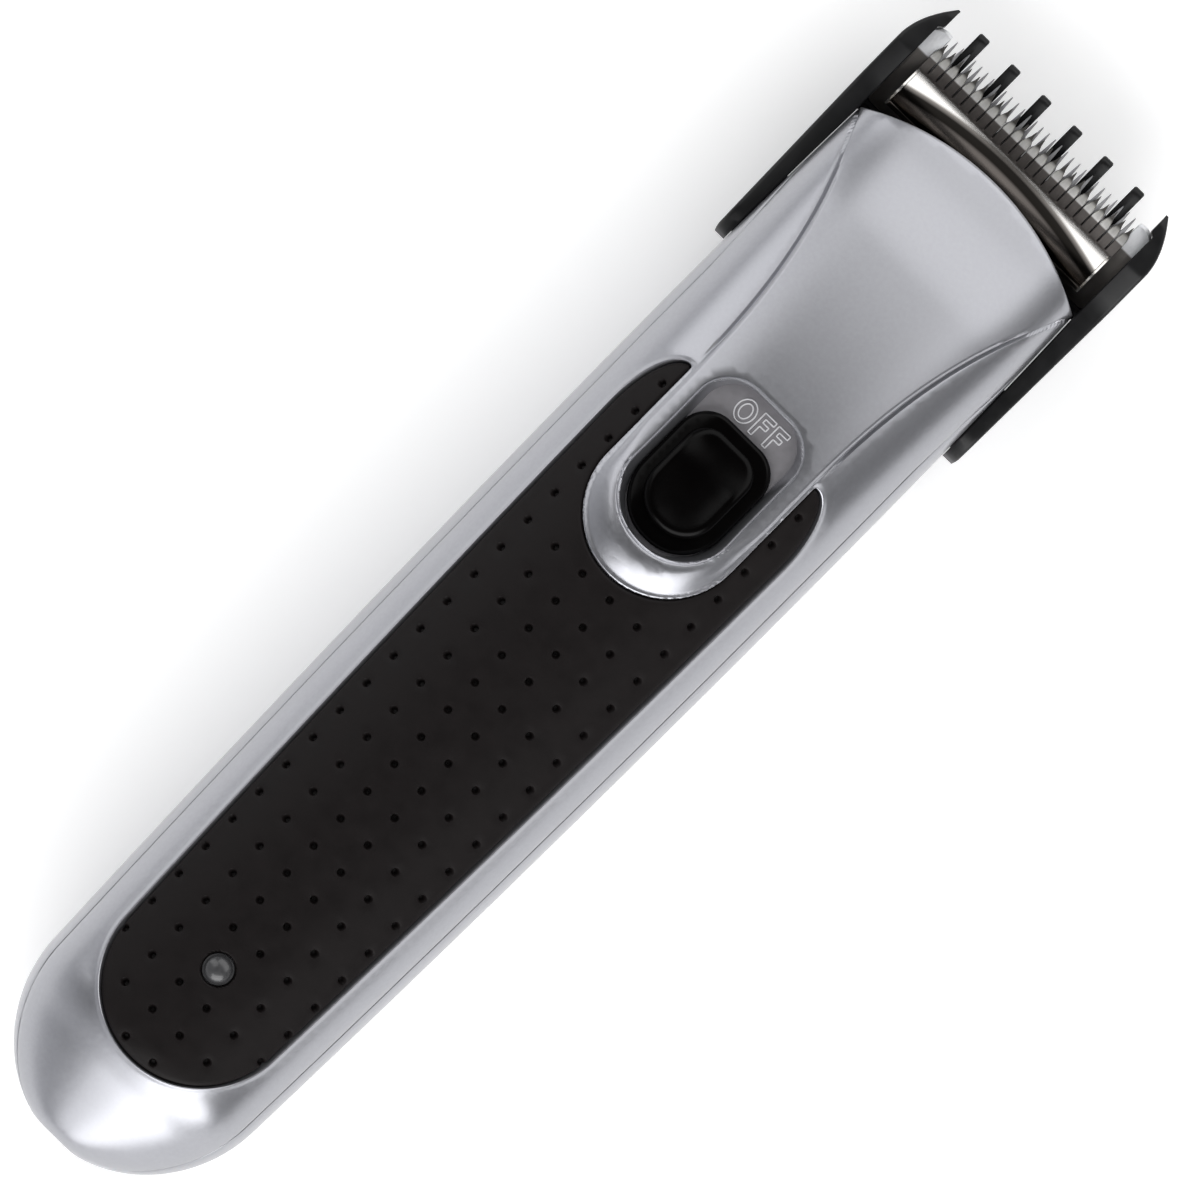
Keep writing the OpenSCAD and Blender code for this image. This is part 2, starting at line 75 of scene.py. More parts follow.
def back_h(y):
    return BELLY - 5.6 * np.clip((y - 25) / 47, 0, 1) ** 1.5


def seam_angle(y):
    return 22 * (1 - smooth((y - 40) / 30))


def nose_drop(t, up):
    """Share of its height that the nose keeps at the share t of its length.

    It is rounded on the back and nearly a cone on the thumb side.
    """
    dome = (1 - np.minimum(t, 0.99999) ** DOME_POWER) ** (1 / DOME_POWER)
    cone = (dome ** BLEND_POWER + (CONE_TOP - CONE_FALL * t) ** BLEND_POWER) ** (1 / BLEND_POWER)
    share = smooth(t / 0.4)
    return np.where(up, dome * (1 - share) + cone * share, dome)


def body_point(angle, v, off):
    """Point of the body surface. v is Y along the straight part, then arc length round the nose."""
    phi = np.clip((END_Y - v) / NOSE_LEN, 0, math.pi / 2)
    t = np.sin(phi)
    y = np.where(v < END_Y, END_Y - t * (NOSE_LEN + off), v)
    base_y = np.where(v < END_Y, END_Y - t * NOSE_LEN, v)
    narrow = np.cos(phi)
    c, s = np.cos(np.radians(angle)), np.sin(np.radians(angle))
    up = s >= 0
    low = nose_drop(t, up)
    power = np.where(up, TOP_POWER, BACK_POWER)
    height = np.where(up, top_h(base_y), back_h(base_y))
    x = (side_w(base_y) + off) * narrow * np.sign(c) * np.abs(c) ** (2 / power)
    z = MID_Z + (height + off) * low * np.sign(s) * np.abs(s) ** (2 / power)
    return np.stack([x, y, z], axis=-1)


def to_domain(x, y):
    """Flat working coordinates of the thumb side over the plan point (x, y)."""
    t = np.clip((END_Y - y) / NOSE_LEN, 0, 0.9999)
    v = np.where(y < END_Y, END_Y - NOSE_LEN * np.arcsin(t), y)
    reach = side_w(y) * np.sqrt(1 - t * t)
    c = np.sign(x) * np.clip(np.abs(x) / reach, 0, 1) ** (TOP_POWER / 2)
    return np.stack([(90 - np.degrees(np.arccos(c))) * DEG_TO_MM, v], axis=-1)


def back_domain(x, y):
    """The same for the back."""
    c = np.sign(x) * np.clip(np.abs(x) / side_w(y), 0, 1) ** (BACK_POWER / 2)
    return np.stack([(90 - np.degrees(np.arccos(c))) * DEG_TO_MM, y], axis=-1)


def lift_top(domain, off):
    return body_point(90 - domain[:, 0] / DEG_TO_MM, domain[:, 1], off)


def lift_back(domain, off):
    points = body_point(270 + domain[:, 0] / DEG_TO_MM, domain[:, 1], off)
    points[:, 2] = np.maximum(points[:, 2], -off)
    return points


# ---- Plan curves and distances ----------------------------------------------

def resample(points, step, closed=True):
    pts = np.asarray(points, float)
    if closed:
        pts = np.vstack([pts, pts[:1]])
    run = np.concatenate([[0], np.cumsum(np.linalg.norm(np.diff(pts, axis=0), axis=1))])
    count = max(3, int(round(run[-1] / step)))
    at = np.linspace(0, run[-1], count + 1)
    if closed:
        at = at[:-1]
    return np.stack([np.interp(at, run, pts[:, 0]), np.interp(at, run, pts[:, 1])], axis=-1)


def distance(points, curve, closed=True):
    """Distance from each point to a polyline."""
    a = curve if closed else curve[:-1]
    b = np.roll(curve, -1, axis=0) if closed else curve[1:]
    best = np.full(len(points), 1e9)
    for start in range(0, len(points), 4000):
        p = points[start:start + 4000, None, :]
        d = b - a
        t = np.clip(((p - a) * d).sum(-1) / (d * d).sum(-1), 0, 1)
        gap = np.linalg.norm(p - (a + t[..., None] * d), axis=-1)
        best[start:start + 4000] = gap.min(axis=1)
    return best


def inside(points, loop):
    x, y = points[:, 0:1], points[:, 1:2]
    x0, y0 = loop[:, 0], loop[:, 1]
    x1, y1 = np.roll(x0, -1), np.roll(y0, -1)
    spans = (y0 > y) != (y1 > y)
    with np.errstate(divide="ignore", invalid="ignore"):
        cross = x < (x1 - x0) * (y - y0) / (y1 - y0) + x0
    return (spans & cross).sum(axis=1) % 2 == 1


def signed(points, loop):
    """Distance to a closed loop, positive inside it."""
    return np.where(inside(points, loop), 1, -1) * distance(points, loop)


def sideways(along):
    """Unit vectors a quarter turn to the left of the given ones."""
    unit = along / np.maximum(np.linalg.norm(along, axis=1), 1e-9)[:, None]
    return np.stack([-unit[:, 1], unit[:, 0]], axis=-1)


def shrink(loop, gap):
    """The closed loop moved to its left by gap, point for point."""
    return loop + gap * sideways(np.roll(loop, -1, axis=0) - np.roll(loop, 1, axis=0))


def ring(loop, gap):
    """The loop moved to its left by gap, without the points that would crowd another stretch."""
    moved = shrink(loop, gap)
    return moved[distance(moved, loop) > abs(gap) * 0.93]


def arc(cx, cy, r, a0, a1, n, ry=None):
    a = np.radians(np.linspace(a0, a1, n))
    return np.stack([cx + r * np.cos(a), cy + (ry or r) * np.sin(a)], axis=-1)


def circle(x, y, r, n):
    return arc(x, y, r, 0, 360, n + 1)[:-1]


def mirrored(*right):
    """Loop through the stretches of the right side and their mirror images."""
    half = np.vstack(right)
    return np.vstack([half, half[::-1] * [-1, 1]])


def slot_loop(half_w, y0, y1, r_low, r_high, n=14):
    """Upright rounded slot, anticlockwise from its lower right corner."""
    return mirrored(arc(half_w - r_low, y0 + r_low, r_low, -90, 0, n),
                    arc(half_w - r_high, y1 - r_high, r_high, 0, 90, n))


# ---- Mesh building ----------------------------------------------------------

def link_object(name, data):
    obj = bpy.data.objects.new(name, data)
    bpy.context.scene.collection.objects.link(obj)
    return obj


def new_object(name, solid, material, body="housing", sharp=35):
    """Object from the vertices and faces of a solid, riding on its body."""
    verts, faces = solid
    mesh = bpy.data.meshes.new(name)
    mesh.from_pydata([tuple(v) for v in np.asarray(verts) * MM], [], faces)
    mesh.validate()
    obj = link_object(name, mesh)
    bm = bmesh.new()
    bm.from_mesh(mesh)
    bmesh.ops.remove_doubles(bm, verts=bm.verts, dist=2e-6)
    bmesh.ops.dissolve_degenerate(bm, edges=bm.edges, dist=1e-6)
    bmesh.ops.recalc_face_normals(bm, faces=bm.faces)
    bm.to_mesh(mesh)
    bm.free()
    for p in mesh.polygons:
        p.use_smooth = True
    mesh.set_sharp_from_angle(angle=math.radians(sharp))
    mesh.materials.append(material)
    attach(obj, body)
    return obj


def triangulate(loops, seeds, keep):
    """Delaunay triangles over loops (constraint curves) and loose seed points, where keep(centres)."""
    verts, edges = [], []
    for loop in loops:
        start = len(verts)
        verts.extend(map(tuple, loop))
        edges.extend((start + i, start + (i + 1) % len(loop)) for i in range(len(loop)))
    for group in seeds:
        verts.extend(map(tuple, group))
    out = delaunay_2d_cdt([Vector(v) for v in verts], edges, [], 0, 1e-5)
    pts = np.array([tuple(v) for v in out[0]])
    tris = np.array([tuple(f) for f in out[2]])
    return pts, tris[keep(pts[tris].mean(axis=1))]


def closed_sheet(outer, inner, tris):
    """Vertices and faces of a solid between two layers that share their triangles."""
    count = len(outer)
    faces = [tuple(t) for t in tris] + [tuple(t[::-1] + count) for t in tris]
    edges = dict.fromkeys((t[i], t[(i + 1) % 3]) for t in tris for i in range(3))
    faces += [(b, a, a + count, b + count) for a, b in edges if (b, a) not in edges]
    return np.vstack([outer, inner]), faces


def grid_points(loop, step):
    """Staggered rows of points over the box around a loop."""
    (x0, y0), (x1, y1) = loop.min(axis=0), loop.max(axis=0)
    rows = []
    for i, y in enumerate(np.arange(y0, y1, step * 0.87)):
        xs = np.arange(x0 + (i % 2) * step / 2, x1, step)
        rows.append(np.stack([xs, np.full(len(xs), y)], axis=-1))
    return np.vstack(rows)


def ramp(d, stops):
    """Profile of straight pieces through (distance, height) stops."""
    xs, hs = zip(*stops)
    return np.interp(d, xs, hs)


def crowd_out(points, others, gap):
    """The points that are at least gap away from all others."""
    tree = KDTree(len(others))
    for i, p in enumerate(others):
        tree.insert((p[0], p[1], 0), i)
    tree.balance()
    keep = [tree.find((p[0], p[1], 0))[2] > gap for p in points]
    return points[np.array(keep)]


def build_sheet(name, material, boundary, holes, rings, step, height, lift, inner, cells=()):
    """Solid skin over a region of the body surface, down to the depth inner.

    height(plan, domain) gives how far each point stands proud of the surface.
    """
    def within(points, margin):
        ok = inside(points, boundary) & (distance(points, boundary) > margin)
        for hole in holes:
            ok &= ~inside(points, hole) & (distance(points, hole) > margin)
        return ok

    loose = [r[within(r, 0.03)] for r in rings]
    fixed = np.vstack([boundary, *holes, *loose, *cells])
    grid = grid_points(boundary, step)
    grid = crowd_out(grid[within(grid, step * 0.4)], fixed, step * 0.45)

    def keep(centres):
        ok = inside(centres, boundary)
        for hole in holes:
            ok &= ~inside(centres, hole)
        return ok

    pts, tris = triangulate([boundary, *holes], [*loose, *cells, grid], keep)
    plan = lift(pts, 0)[:, :2]
    outer = lift(pts, height(plan, pts))
    return new_object(name, closed_sheet(outer, lift(pts, inner), tris), material)


# ---- Outlines of the thumb side ---------------------------------------------

PLATE_TOP, FLANGE_GAP = 26.2, 0.2
HEEL_Y, BOWL_Y = -58.5, 18.1
CREASE_Y0, CREASE_Y1 = 28, 66.9

# Thickness of the shells, and the spacing of the points in them
SKIN, SKIN_STEP = 1.9, 0.8

# Profiles across an edge: (distance from it, height over the surface)
SHELL_RIM = ((0, -0.3), (0.05, -0.16), (0.12, -0.06), (0.28, 0))
CREASE_GROOVE = ((-0.34, 0), (-0.2, -0.04), (-0.1, -0.26), (-0.02, -0.36), (0.08, -0.36), (0.2, -0.16),
                 (0.4, 0))
GRIP_BORDER = ((-0.75, 0), (-0.5, 0.05), (-0.3, 0.15), (-0.18, 0.17), (-0.08, 0.1), (0, -0.2),
               (0.06, -0.95))
SLOT_BORDER = ((-0.62, 0), (-0.45, -0.07), (-0.33, 0.08), (-0.22, 0.17), (-0.12, 0.13), (-0.05, -0.12),
               (0, -0.9))


def grip_side(y):
    return side_w(y) - 3.95 - 0.008 * (25 - y)


def grip_loop():
    """Outline of the soft grip, with a horn on each side of the tongue."""
    ys = np.linspace(23, HEEL_Y, 60)
    right = np.vstack([
        arc(10.2, 31.85, 0.25, 180, 90, 4),
        arc(10.2, 23, 3.67, 86, 6, 16, ry=9.1),
        np.stack([grip_side(ys), ys], axis=-1)])
    heel = arc(0, HEEL_Y, grip_side(HEEL_Y), -3, -177, 50, ry=11.8)
    notch = arc(0, BOWL_Y, 9.95, 180, 360, 50)
    left = right[::-1] * [-1, 1]
    return np.vstack([right, heel, left, notch])


def crease_curve():
    """Edge of the raised tongue, from the left corner of the head round to the right one."""
    ys = np.linspace(CREASE_Y1, CREASE_Y0, 60)
    x = 9.75 + 7.6 * ((ys - CREASE_Y0) / (CREASE_Y1 - CREASE_Y0)) ** 2.7
    left = np.stack([-x, ys], axis=-1)
    bowl = arc(0, BOWL_Y, 9.82, 180, 360, 60)
    return np.vstack([left, bowl, left[::-1] * [-1, 1]])


GRIP = resample(grip_loop()[::-1], 0.32)
CREASE = resample(crease_curve(), 0.45, closed=False)
TONGUE = np.vstack([CREASE, [[17.3, 80], [-17.3, 80]]])
SLOT_LINE = resample(slot_loop(6.87, 13.5, 35.2, 6.7, 4.4), 0.25)


def bowl_share(y):
    """0 beside the switch, growing to 1 at the bowl below it."""
    return smooth((25 - y) / 14)


def tongue_band(y):
    """Width of the slope at the tongue's edge."""
    return 1.0 + 3.3 * bowl_share(y)


def tongue_rise(plan):
    """Height of the tongue above the flanks; it fades out at the head's corners."""
    y = plan[:, 1]
    gap = np.where(inside(plan, TONGUE), 1, -1) * distance(plan, CREASE, closed=False)
    taper = smooth((68.0 - y) / 11)
    band = tongue_band(y) * np.maximum(taper, 0.15)
    low = bowl_share(y)
    rise = 0.65 + 0.75 * low
    climb = np.clip(gap / band, 0, 1)
    profile = smooth(climb) * (1 - low) + np.sin(climb * math.pi / 2) ** 1.15 * low
    groove = ramp(gap, CREASE_GROOVE)
    return rise * taper * profile + groove * smooth((y - 33) / 5)


def solve_rise(value, count, low, high, turns=40):
    """Where the rising function value(v) passes zero between low and high, at count places."""
    low, high = np.full(count, float(low)), np.full(count, float(high))
    for _ in range(turns):
        mid = (low + high) / 2
        up = value(mid) > 0
        high = np.where(up, mid, high)
        low = np.where(up, low, mid)
    return (low + high) / 2


def nose_edge(angles):
    """Where the skin meets the charging socket."""
    def value(v):
        p = body_point(angles, v, 0)
        return np.hypot(p[:, 0], p[:, 2] - MID_Z) - SOCKET_R
    return solve_rise(value, len(angles), END_Y - NOSE_LEN * math.pi / 2, END_Y)


def head_edge(angles):
    """Where the skin meets the arc that ends the shells."""
    def value(v):
        x = body_point(angles, v, 0)[:, 0]
        return v - (HEAD_Y - HEAD_R + np.sqrt(HEAD_R ** 2 - x ** 2))
    return solve_rise(value, len(angles), 60, 75)


def shell_boundary(half_angle, centre, top_edge):
    """Edge of one shell in working coordinates; half_angle(v) is its reach to either side."""
    def edge(solver, reach, n):
        turn = np.linspace(-reach, reach, n)
        v = solver(centre - turn if centre == 90 else centre + turn)
        return np.stack([turn * DEG_TO_MM, v], axis=-1)

    bottom = edge(nose_edge, half_angle(END_Y), 90)
    top = edge(top_edge, half_angle(67.0), 130)
    vs = np.arange(bottom[-1, 1] + 0.35, top[-1, 1] - 0.2, 0.35)
    right = np.stack([half_angle(vs) * DEG_TO_MM, vs], axis=-1)
    return np.vstack([bottom, right, top[::-1], right[::-1] * [-1, 1]])


def front_housing(material):
    """Front shell with its raised tongue and the borders of the grip and the switch."""
    boundary = shell_boundary(lambda v: 90 - seam_angle(v), 90, head_edge)
    rings = [to_domain(*ring(GRIP, gap).T) for gap, _ in GRIP_BORDER]
    rings += [to_domain(*ring(SLOT_LINE, gap).T) for gap, _ in SLOT_BORDER[-2::-1]]
    aside = sideways(np.gradient(CREASE, axis=0)) * tongue_band(CREASE[:, 1:2])
    for share in (*(gap for gap, _ in CREASE_GROOVE), 0.7, 1, 1.15):
        rings.append(to_domain(*(CREASE + share * aside).T))
    rings += [ring(boundary, gap) for gap, _ in SHELL_RIM[1:]]

    def height(plan, domain):
        return (tongue_rise(plan) + ramp(signed(plan, GRIP), GRIP_BORDER)
                + ramp(signed(plan, SLOT_LINE), SLOT_BORDER)
                + ramp(distance(domain, boundary), SHELL_RIM))

    return build_sheet("front_shell", material, boundary, [to_domain(*SLOT_LINE.T)], rings, SKIN_STEP,
                       height, lift_top, -SKIN)


# ---- Soft grip --------------------------------------------------------------

DIMPLE_X = [s * x for x in (2.22, 6.67, 11.1) for s in (-1, 1)]
DIMPLE_TOP, DIMPLE_PITCH, DIMPLE_ROWS = 28.24, 4.41, 23
DIMPLE_BOWL = ((0, -0.78), (0.25, -0.76), (0.38, -0.6), (0.46, -0.14), (0.54, -0.03), (0.66, 0))
DIMPLE_POINTS = (8, 14, 14, 14, 14)
GRIP_RIM = ((0.09, -0.8), (0.13, -0.3), (0.2, -0.13), (0.32, -0.05), (0.5, -0.01), (0.8, 0))
LED_RIM = ((1.98, -0.6), (2.03, -0.16), (2.12, -0.03), (2.25, 0.03), (2.45, 0))


def dimple_centres():
    spots = np.array([(x, DIMPLE_TOP - k * DIMPLE_PITCH) for k in range(DIMPLE_ROWS) for x in DIMPLE_X])
    clear = (signed(spots, GRIP) > 0.55) & (np.hypot(spots[:, 0], spots[:, 1] - LED_Y) > 3)
    return spots[clear]


def grip_inlay(material):
    """Soft grip with rows of dimples and a hole for the lamp."""
    spots = dimple_centres()
    boundary, *rings = (to_domain(*ring(GRIP, gap).T) for gap, _ in GRIP_RIM)
    led_ring, *led_rings = (to_domain(*circle(0, LED_Y, r, 32).T) for r, _ in LED_RIM)
    bowl = [circle(0, 0, r, n) for (r, _), n in zip(DIMPLE_BOWL[1:], DIMPLE_POINTS)]
    around = np.vstack([[[0, 0]], *bowl])
    cells = [to_domain(*(around + spot).T) for spot in spots]

    def height(plan, _):
        near = np.full(len(plan), DIMPLE_PITCH)
        for x, y in spots:
            near = np.minimum(near, np.hypot(plan[:, 0] - x, plan[:, 1] - y))
        led = np.hypot(plan[:, 0], plan[:, 1] - LED_Y)
        return ramp(signed(plan, GRIP), GRIP_RIM) + ramp(near, DIMPLE_BOWL) + ramp(led, LED_RIM)

    return build_sheet("soft_grip", material, boundary, [led_ring], rings + led_rings, 0.9, height,
                       lift_top, -0.9, cells)


# ---- Rear shell -------------------------------------------------------------

BLADE_TILT = math.radians(25)
TIP_Y, TIP_Z = 80.3, 12.0
WINDOW_HALF, WINDOW_ROOT = 15.2, -18.6
SHELL_SCREWS = [(s * x, y, head) for x, y, head in ((9.8, -8, 1.4), (9.6, 53, 4.0)) for s in (-1, 1)]
SCREW_HEAD, WELL_R = 1.6, 2.1
WELL_RIM = ((0, -0.3), (0.06, -0.14), (0.14, -0.04), (0.26, 0))
GROOVE_X, GROOVE_Y, GROOVE_Z, GROOVE_EDGE = (16.55, 19.6), (44, 70), (8.25, 10.75), 0.3


def back_edge(angles):
    """The head arc at the sides, and the sloping window for the blades between them."""
    rim = head_edge(angles)
    half = np.abs(body_point(angles, rim, 0)[:, 0])

    def value(v):
        p = body_point(angles, v, 0)
        return ((p[:, 1] - TIP_Y) * math.cos(BLADE_TILT) + (p[:, 2] - TIP_Z) * math.sin(BLADE_TILT)
                - WINDOW_ROOT)
    window = solve_rise(value, len(angles), 50, 72)
    blend = smooth((half - WINDOW_HALF + 0.35) / 0.7)
    below = np.sin(np.radians(angles)) < 0
    return np.where(below, window + (rim - window) * blend, rim)


def rear_housing(material):
    """Rear shell with its screw wells and the comb's guide grooves."""
    boundary = shell_boundary(lambda v: 90 + seam_angle(v), 270, back_edge)
    wells = [[back_domain(*circle(x, y, WELL_R + gap, 36).T) for gap, _ in WELL_RIM]
             for x, y, _ in SHELL_SCREWS]
    rings = [wide for _, *rims in wells for wide in rims]
    rings += [ring(boundary, gap) for gap, _ in SHELL_RIM[1:]]

    def height(plan, domain):
        off = ramp(distance(domain, boundary), SHELL_RIM)
        under = np.abs(domain[:, 0]) < 90 * DEG_TO_MM
        for x, y, _ in SHELL_SCREWS:
            gap = np.hypot(plan[:, 0] - x, plan[:, 1] - y) - WELL_R
            off += np.where(under, ramp(gap, WELL_RIM), 0)
        return off

    holes = [hole for hole, *_ in wells]
    shell = build_sheet("rear_shell", material, boundary, holes, rings, SKIN_STEP, height,
                        lift_back, -SKIN)
    for side in (-1, 1):
        cut_groove(shell, side)
    return shell


def cut_groove(shell, side):
    """Cuts the comb's guide groove into one flank."""
    x0, x1 = sorted(side * x for x in GROOVE_X)
    cutter = box_mesh("groove_cutter", *zip((x0, x1), GROOVE_Y, GROOVE_Z), GROOVE_EDGE)
    cut = shell.modifiers.new("groove", "BOOLEAN")
    cut.operation, cut.solver, cut.object = "DIFFERENCE", "EXACT", cutter
    evaluated = shell.evaluated_get(bpy.context.evaluated_depsgraph_get())
    mesh = bpy.data.meshes.new_from_object(evaluated)
    shell.modifiers.clear()
    shell.data = mesh
    bpy.data.objects.remove(cutter)
    shell.data.set_sharp_from_angle(angle=math.radians(35))


def box_mesh(name, low, high, bevel):
    mesh = bpy.data.meshes.new(name)
    bm = bmesh.new()
    bmesh.ops.create_cube(bm, size=1)
    size, mid = np.subtract(high, low) * MM, np.add(high, low) / 2 * MM
    for v in bm.verts:
        v.co = Vector(np.array(v.co) * size + mid)
    bmesh.ops.bevel(bm, geom=bm.edges[:], offset=bevel * MM, segments=3, affect="EDGES")
    bm.to_mesh(mesh)
    bm.free()
    return link_object(name, mesh)


# ---- Solids of revolution and extruded plates -------------------------------

def lathe(profile, turns=48, closed=False):
    """Vertices and faces of a (radius, height) profile turned about Z; ends on the axis close it."""
    verts, faces, rings = [], [], []
    for r, z in profile:
        if r < 1e-6:
            rings.append([len(verts)] * turns)
            verts.append((0, 0, z))
            continue
        rings.append([len(verts) + k for k in range(turns)])
        verts += [(x, y, z) for x, y in circle(0, 0, r, turns)]
    if closed:
        rings.append(rings[0])
    for low, high in zip(rings, rings[1:]):
        for k in range(turns):
            n = (k + 1) % turns
            quad = list(dict.fromkeys([low[k], low[n], high[n], high[k]]))
            if len(quad) > 2:
                faces.append(tuple(quad))
    return np.array(verts, float), faces


def merge(parts):
    """One vertex and face list from several."""
    verts, faces, count = [], [], 0
    for v, f in parts:
        verts.append(v)
        faces += [tuple(i + count for i in face) for face in f]
        count += len(v)
    return np.vstack(verts), faces


def stack_faces(levels, n):
    """Faces of a tube through stacked loops of n points, with both ends closed."""
    faces = [(k * n + i, k * n + (i + 1) % n, (k + 1) * n + (i + 1) % n, (k + 1) * n + i)
             for k in range(levels - 1) for i in range(n)]
    return faces + [tuple(range(n))[::-1], tuple(range((levels - 1) * n, levels * n))]


def plate(loop, z0, z1, bevel, segments, dish=None, step=0.6):
    """Plate over a plan loop with rounded upper edges. dish(x, y) lowers its top."""
    def topped(points, z):
        sunk = dish(*points.T) if dish else 0
        return np.column_stack([points, np.full(len(points), z) - sunk])

    n = len(loop)
    layers = [np.column_stack([loop, np.full(n, z0)])]
    for turn in np.linspace(0, math.pi / 2, segments + 1):
        inner = shrink(loop, bevel * (1 - math.cos(turn)))
        layers.append(topped(inner, z1 - bevel * (1 - math.sin(turn))))
    grid = grid_points(inner, step)
    grid = grid[inside(grid, inner) & (distance(grid, inner) > step * 0.4)]
    pts, tris = triangulate([inner], [grid], lambda c: inside(c, inner))
    base = n * len(layers)
    faces = stack_faces(len(layers), n)[:-1] + [tuple(int(i) + base for i in t) for t in tris]
    return np.vstack([*layers, topped(pts, z1)]), faces


# ---- Switch and lamp --------------------------------------------------------

STEM = ((-1.3, 18.6, 24.7), (1.3, 24.4, 26.7))
PAD_DISH_Y = 22.7
STROKE_RIBS = ((-0.5, 0), (-0.38, 0.7), (0, 1), (0.38, 0.7), (0.5, 0))


def letter_strokes():
    """Outlines of the word for the off position, in the plate's plan."""
    low, high, bar = 31.2, 34.25, 0.55
    mid = (low + high) / 2
    strokes = [arc(-1.95, mid, 1.25, 0, 360, 37, ry=1.52), arc(-1.95, mid, 0.72, 0, 360, 29, ry=1.0)]
    for x in (-0.15, 2.05):
        wide, waist = x + 1.8, mid - 0.1
        strokes.append(np.array([
            (x, low), (x + bar, low), (x + bar, waist), (wide - 0.3, waist), (wide - 0.3, waist + bar),
            (x + bar, waist + bar), (x + bar, high - bar), (wide, high - bar), (wide, high), (x, high),
            (x, low)]))
    return strokes


def stroke_mesh(points, width, z0, height):
    """Raised rounded line along plan points."""
    pts = resample(points, 0.12, closed=False)
    side = sideways(np.gradient(pts, axis=0))
    verts = [(*(p + s * width * o), z0 + height * h) for p, s in zip(pts, side) for o, h in STROKE_RIBS]
    return np.array(verts), stack_faces(len(pts), len(STROKE_RIBS))


def switch_plate(material):
    loop = resample(slot_loop(8.3, 12.1, 36.7, 7.1, 5.5), 0.4)
    return new_object("switch_floor", plate(loop, 25.05, PLATE_TOP, 0.05, 1), material)


def off_mark(material):
    strokes = [stroke_mesh(s, 0.2, PLATE_TOP - 0.03, 0.14) for s in letter_strokes()]
    return new_object("off_mark", merge(strokes), material)


def switch_button(material):
    base_z = PLATE_TOP + FLANGE_GAP
    flange = resample(slot_loop(6.4, 14.05, 30.75, 6.15, 4.0), 0.3)
    pad = resample(slot_loop(4.9, 16.1, 29.3, 4.6, 3.1), 0.25)

    def cup(x, y):
        hollow = 1.0 * np.clip(1 - ((y - PAD_DISH_Y) / 7.4) ** 2, 0, 1) ** 1.3
        return hollow * np.clip(1 - (x / 5.6) ** 2, 0, 1) + 1.1 * smooth((y - 23.5) / 5.5)

    def saddle(x, _):
        return 0.35 * smooth((np.abs(x) - 3.4) / 3.2)

    parts = [plate(flange, base_z, base_z + 1.15, 0.55, 5, dish=saddle),
             plate(pad, base_z + 0.4, 29.2, 1.15, 8, dish=cup, step=0.4),
             box_part(*STEM)]
    return new_object("thumb_button", merge(parts), material, "switch", sharp=50)


def box_part(low, high):
    x0, y0, z0 = low
    x1, y1, z1 = high
    verts = np.array([(x, y, z) for z in (z0, z1) for y in (y0, y1) for x in (x0, x1)], float)
    faces = [(0, 2, 3, 1), (4, 5, 7, 6), (0, 1, 5, 4), (2, 6, 7, 3), (0, 4, 6, 2), (1, 3, 7, 5)]
    return verts, faces


def led_lens(material):
    top = 27.1
    dome = arc(0, top - 0.25, 1.62, 0, 81, 10, ry=0.95)
    profile = [(0, 25.3), (1.9, 25.3), (1.9, top - 0.45), (1.84, top - 0.36), (1.7, top - 0.34), *dome,
               (0, top + 0.7)]
    verts, faces = lathe(profile)
    verts[:, 1] += LED_Y
    return new_object("lamp_dome", (verts, faces), material)


def screw_wells(material):
    """Sleeves from the screw holes in the back to the seats of the screw heads."""
    sleeves = []
    for x, y, head in SHELL_SCREWS:
        seat = head + SCREW_HEAD
        verts, faces = lathe([(2.14, head + 0.4), (2.14, seat), (1.15, seat), (1.15, seat + 3),
                              (3.1, seat + 3), (3.1, head + 0.4)], closed=True)
        sleeves.append((verts + [x, y, 0], faces))
    return new_object("screw_wells", merge(sleeves), material, sharp=30)


def charging_socket(material):
    """Round inlet set a little back from the end of the body."""
    profile = [(0, -73.6), (1.8, -73.6), (1.8, -82.35), (1.95, -82.6), (2.2, -82.72), (3.1, -82.72),
               (3.4, -82.6), (3.52, -82.3), (3.52, -72.3), (3.3, -72.2), (0, -72.2)]
    verts, faces = lathe(profile)
    placed = np.stack([verts[:, 0], verts[:, 2], MID_Z - verts[:, 1]], axis=-1)
    return new_object("charging_inlet", (placed, faces), material, sharp=30)


# ---- Blades and comb --------------------------------------------------------

def blade_place(solid):
    """From the blades' own frame (tips at y = 0, skin side down) to the body's."""
    c, s = math.cos(BLADE_TILT), math.sin(BLADE_TILT)
    x, y, z = solid[0].T
    return np.stack([x, TIP_Y + y * c - z * s, TIP_Z + y * s + z * c], axis=-1), solid[1]


def prism(outline, x0, x1, bevel=0.0):
    """Solid between x0 and x1 over a (y, z) outline, with its rims drawn in by bevel."""
    loop = np.asarray(outline, float)
    layers = [(x0 + bevel, loop), (x1 - bevel, loop)]
    if bevel:
        inwards = loop.mean(axis=0) - loop
        small = loop + inwards * (bevel / np.linalg.norm(inwards, axis=1))[:, None]
        layers = [(x0, small), *layers, (x1, small)]
    verts = [(x, y, z) for x, curve in layers for y, z in curve]
    return np.array(verts), stack_faces(len(layers), len(loop))


def tooth(rows):
    """Tooth along +Y through rows of (y, half width, bottom, top), with chamfered upper edges."""
    verts = []
    for y, half, low, top in rows:
        edge = min(0.12, (top - low) * 0.5)
        verts += [(-half, y, low), (half, y, low), (half, y, top - edge), (half * 0.9, y, top),
                  (-half * 0.9, y, top), (-half, y, top - edge)]
    return np.array(verts), stack_faces(len(rows), len(verts) // len(rows))


def tooth_row(rows, count, pitch):
    verts, faces = tooth(rows)
    return [(verts + [(i - (count - 1) / 2) * pitch, 0, 0], faces) for i in range(count)]


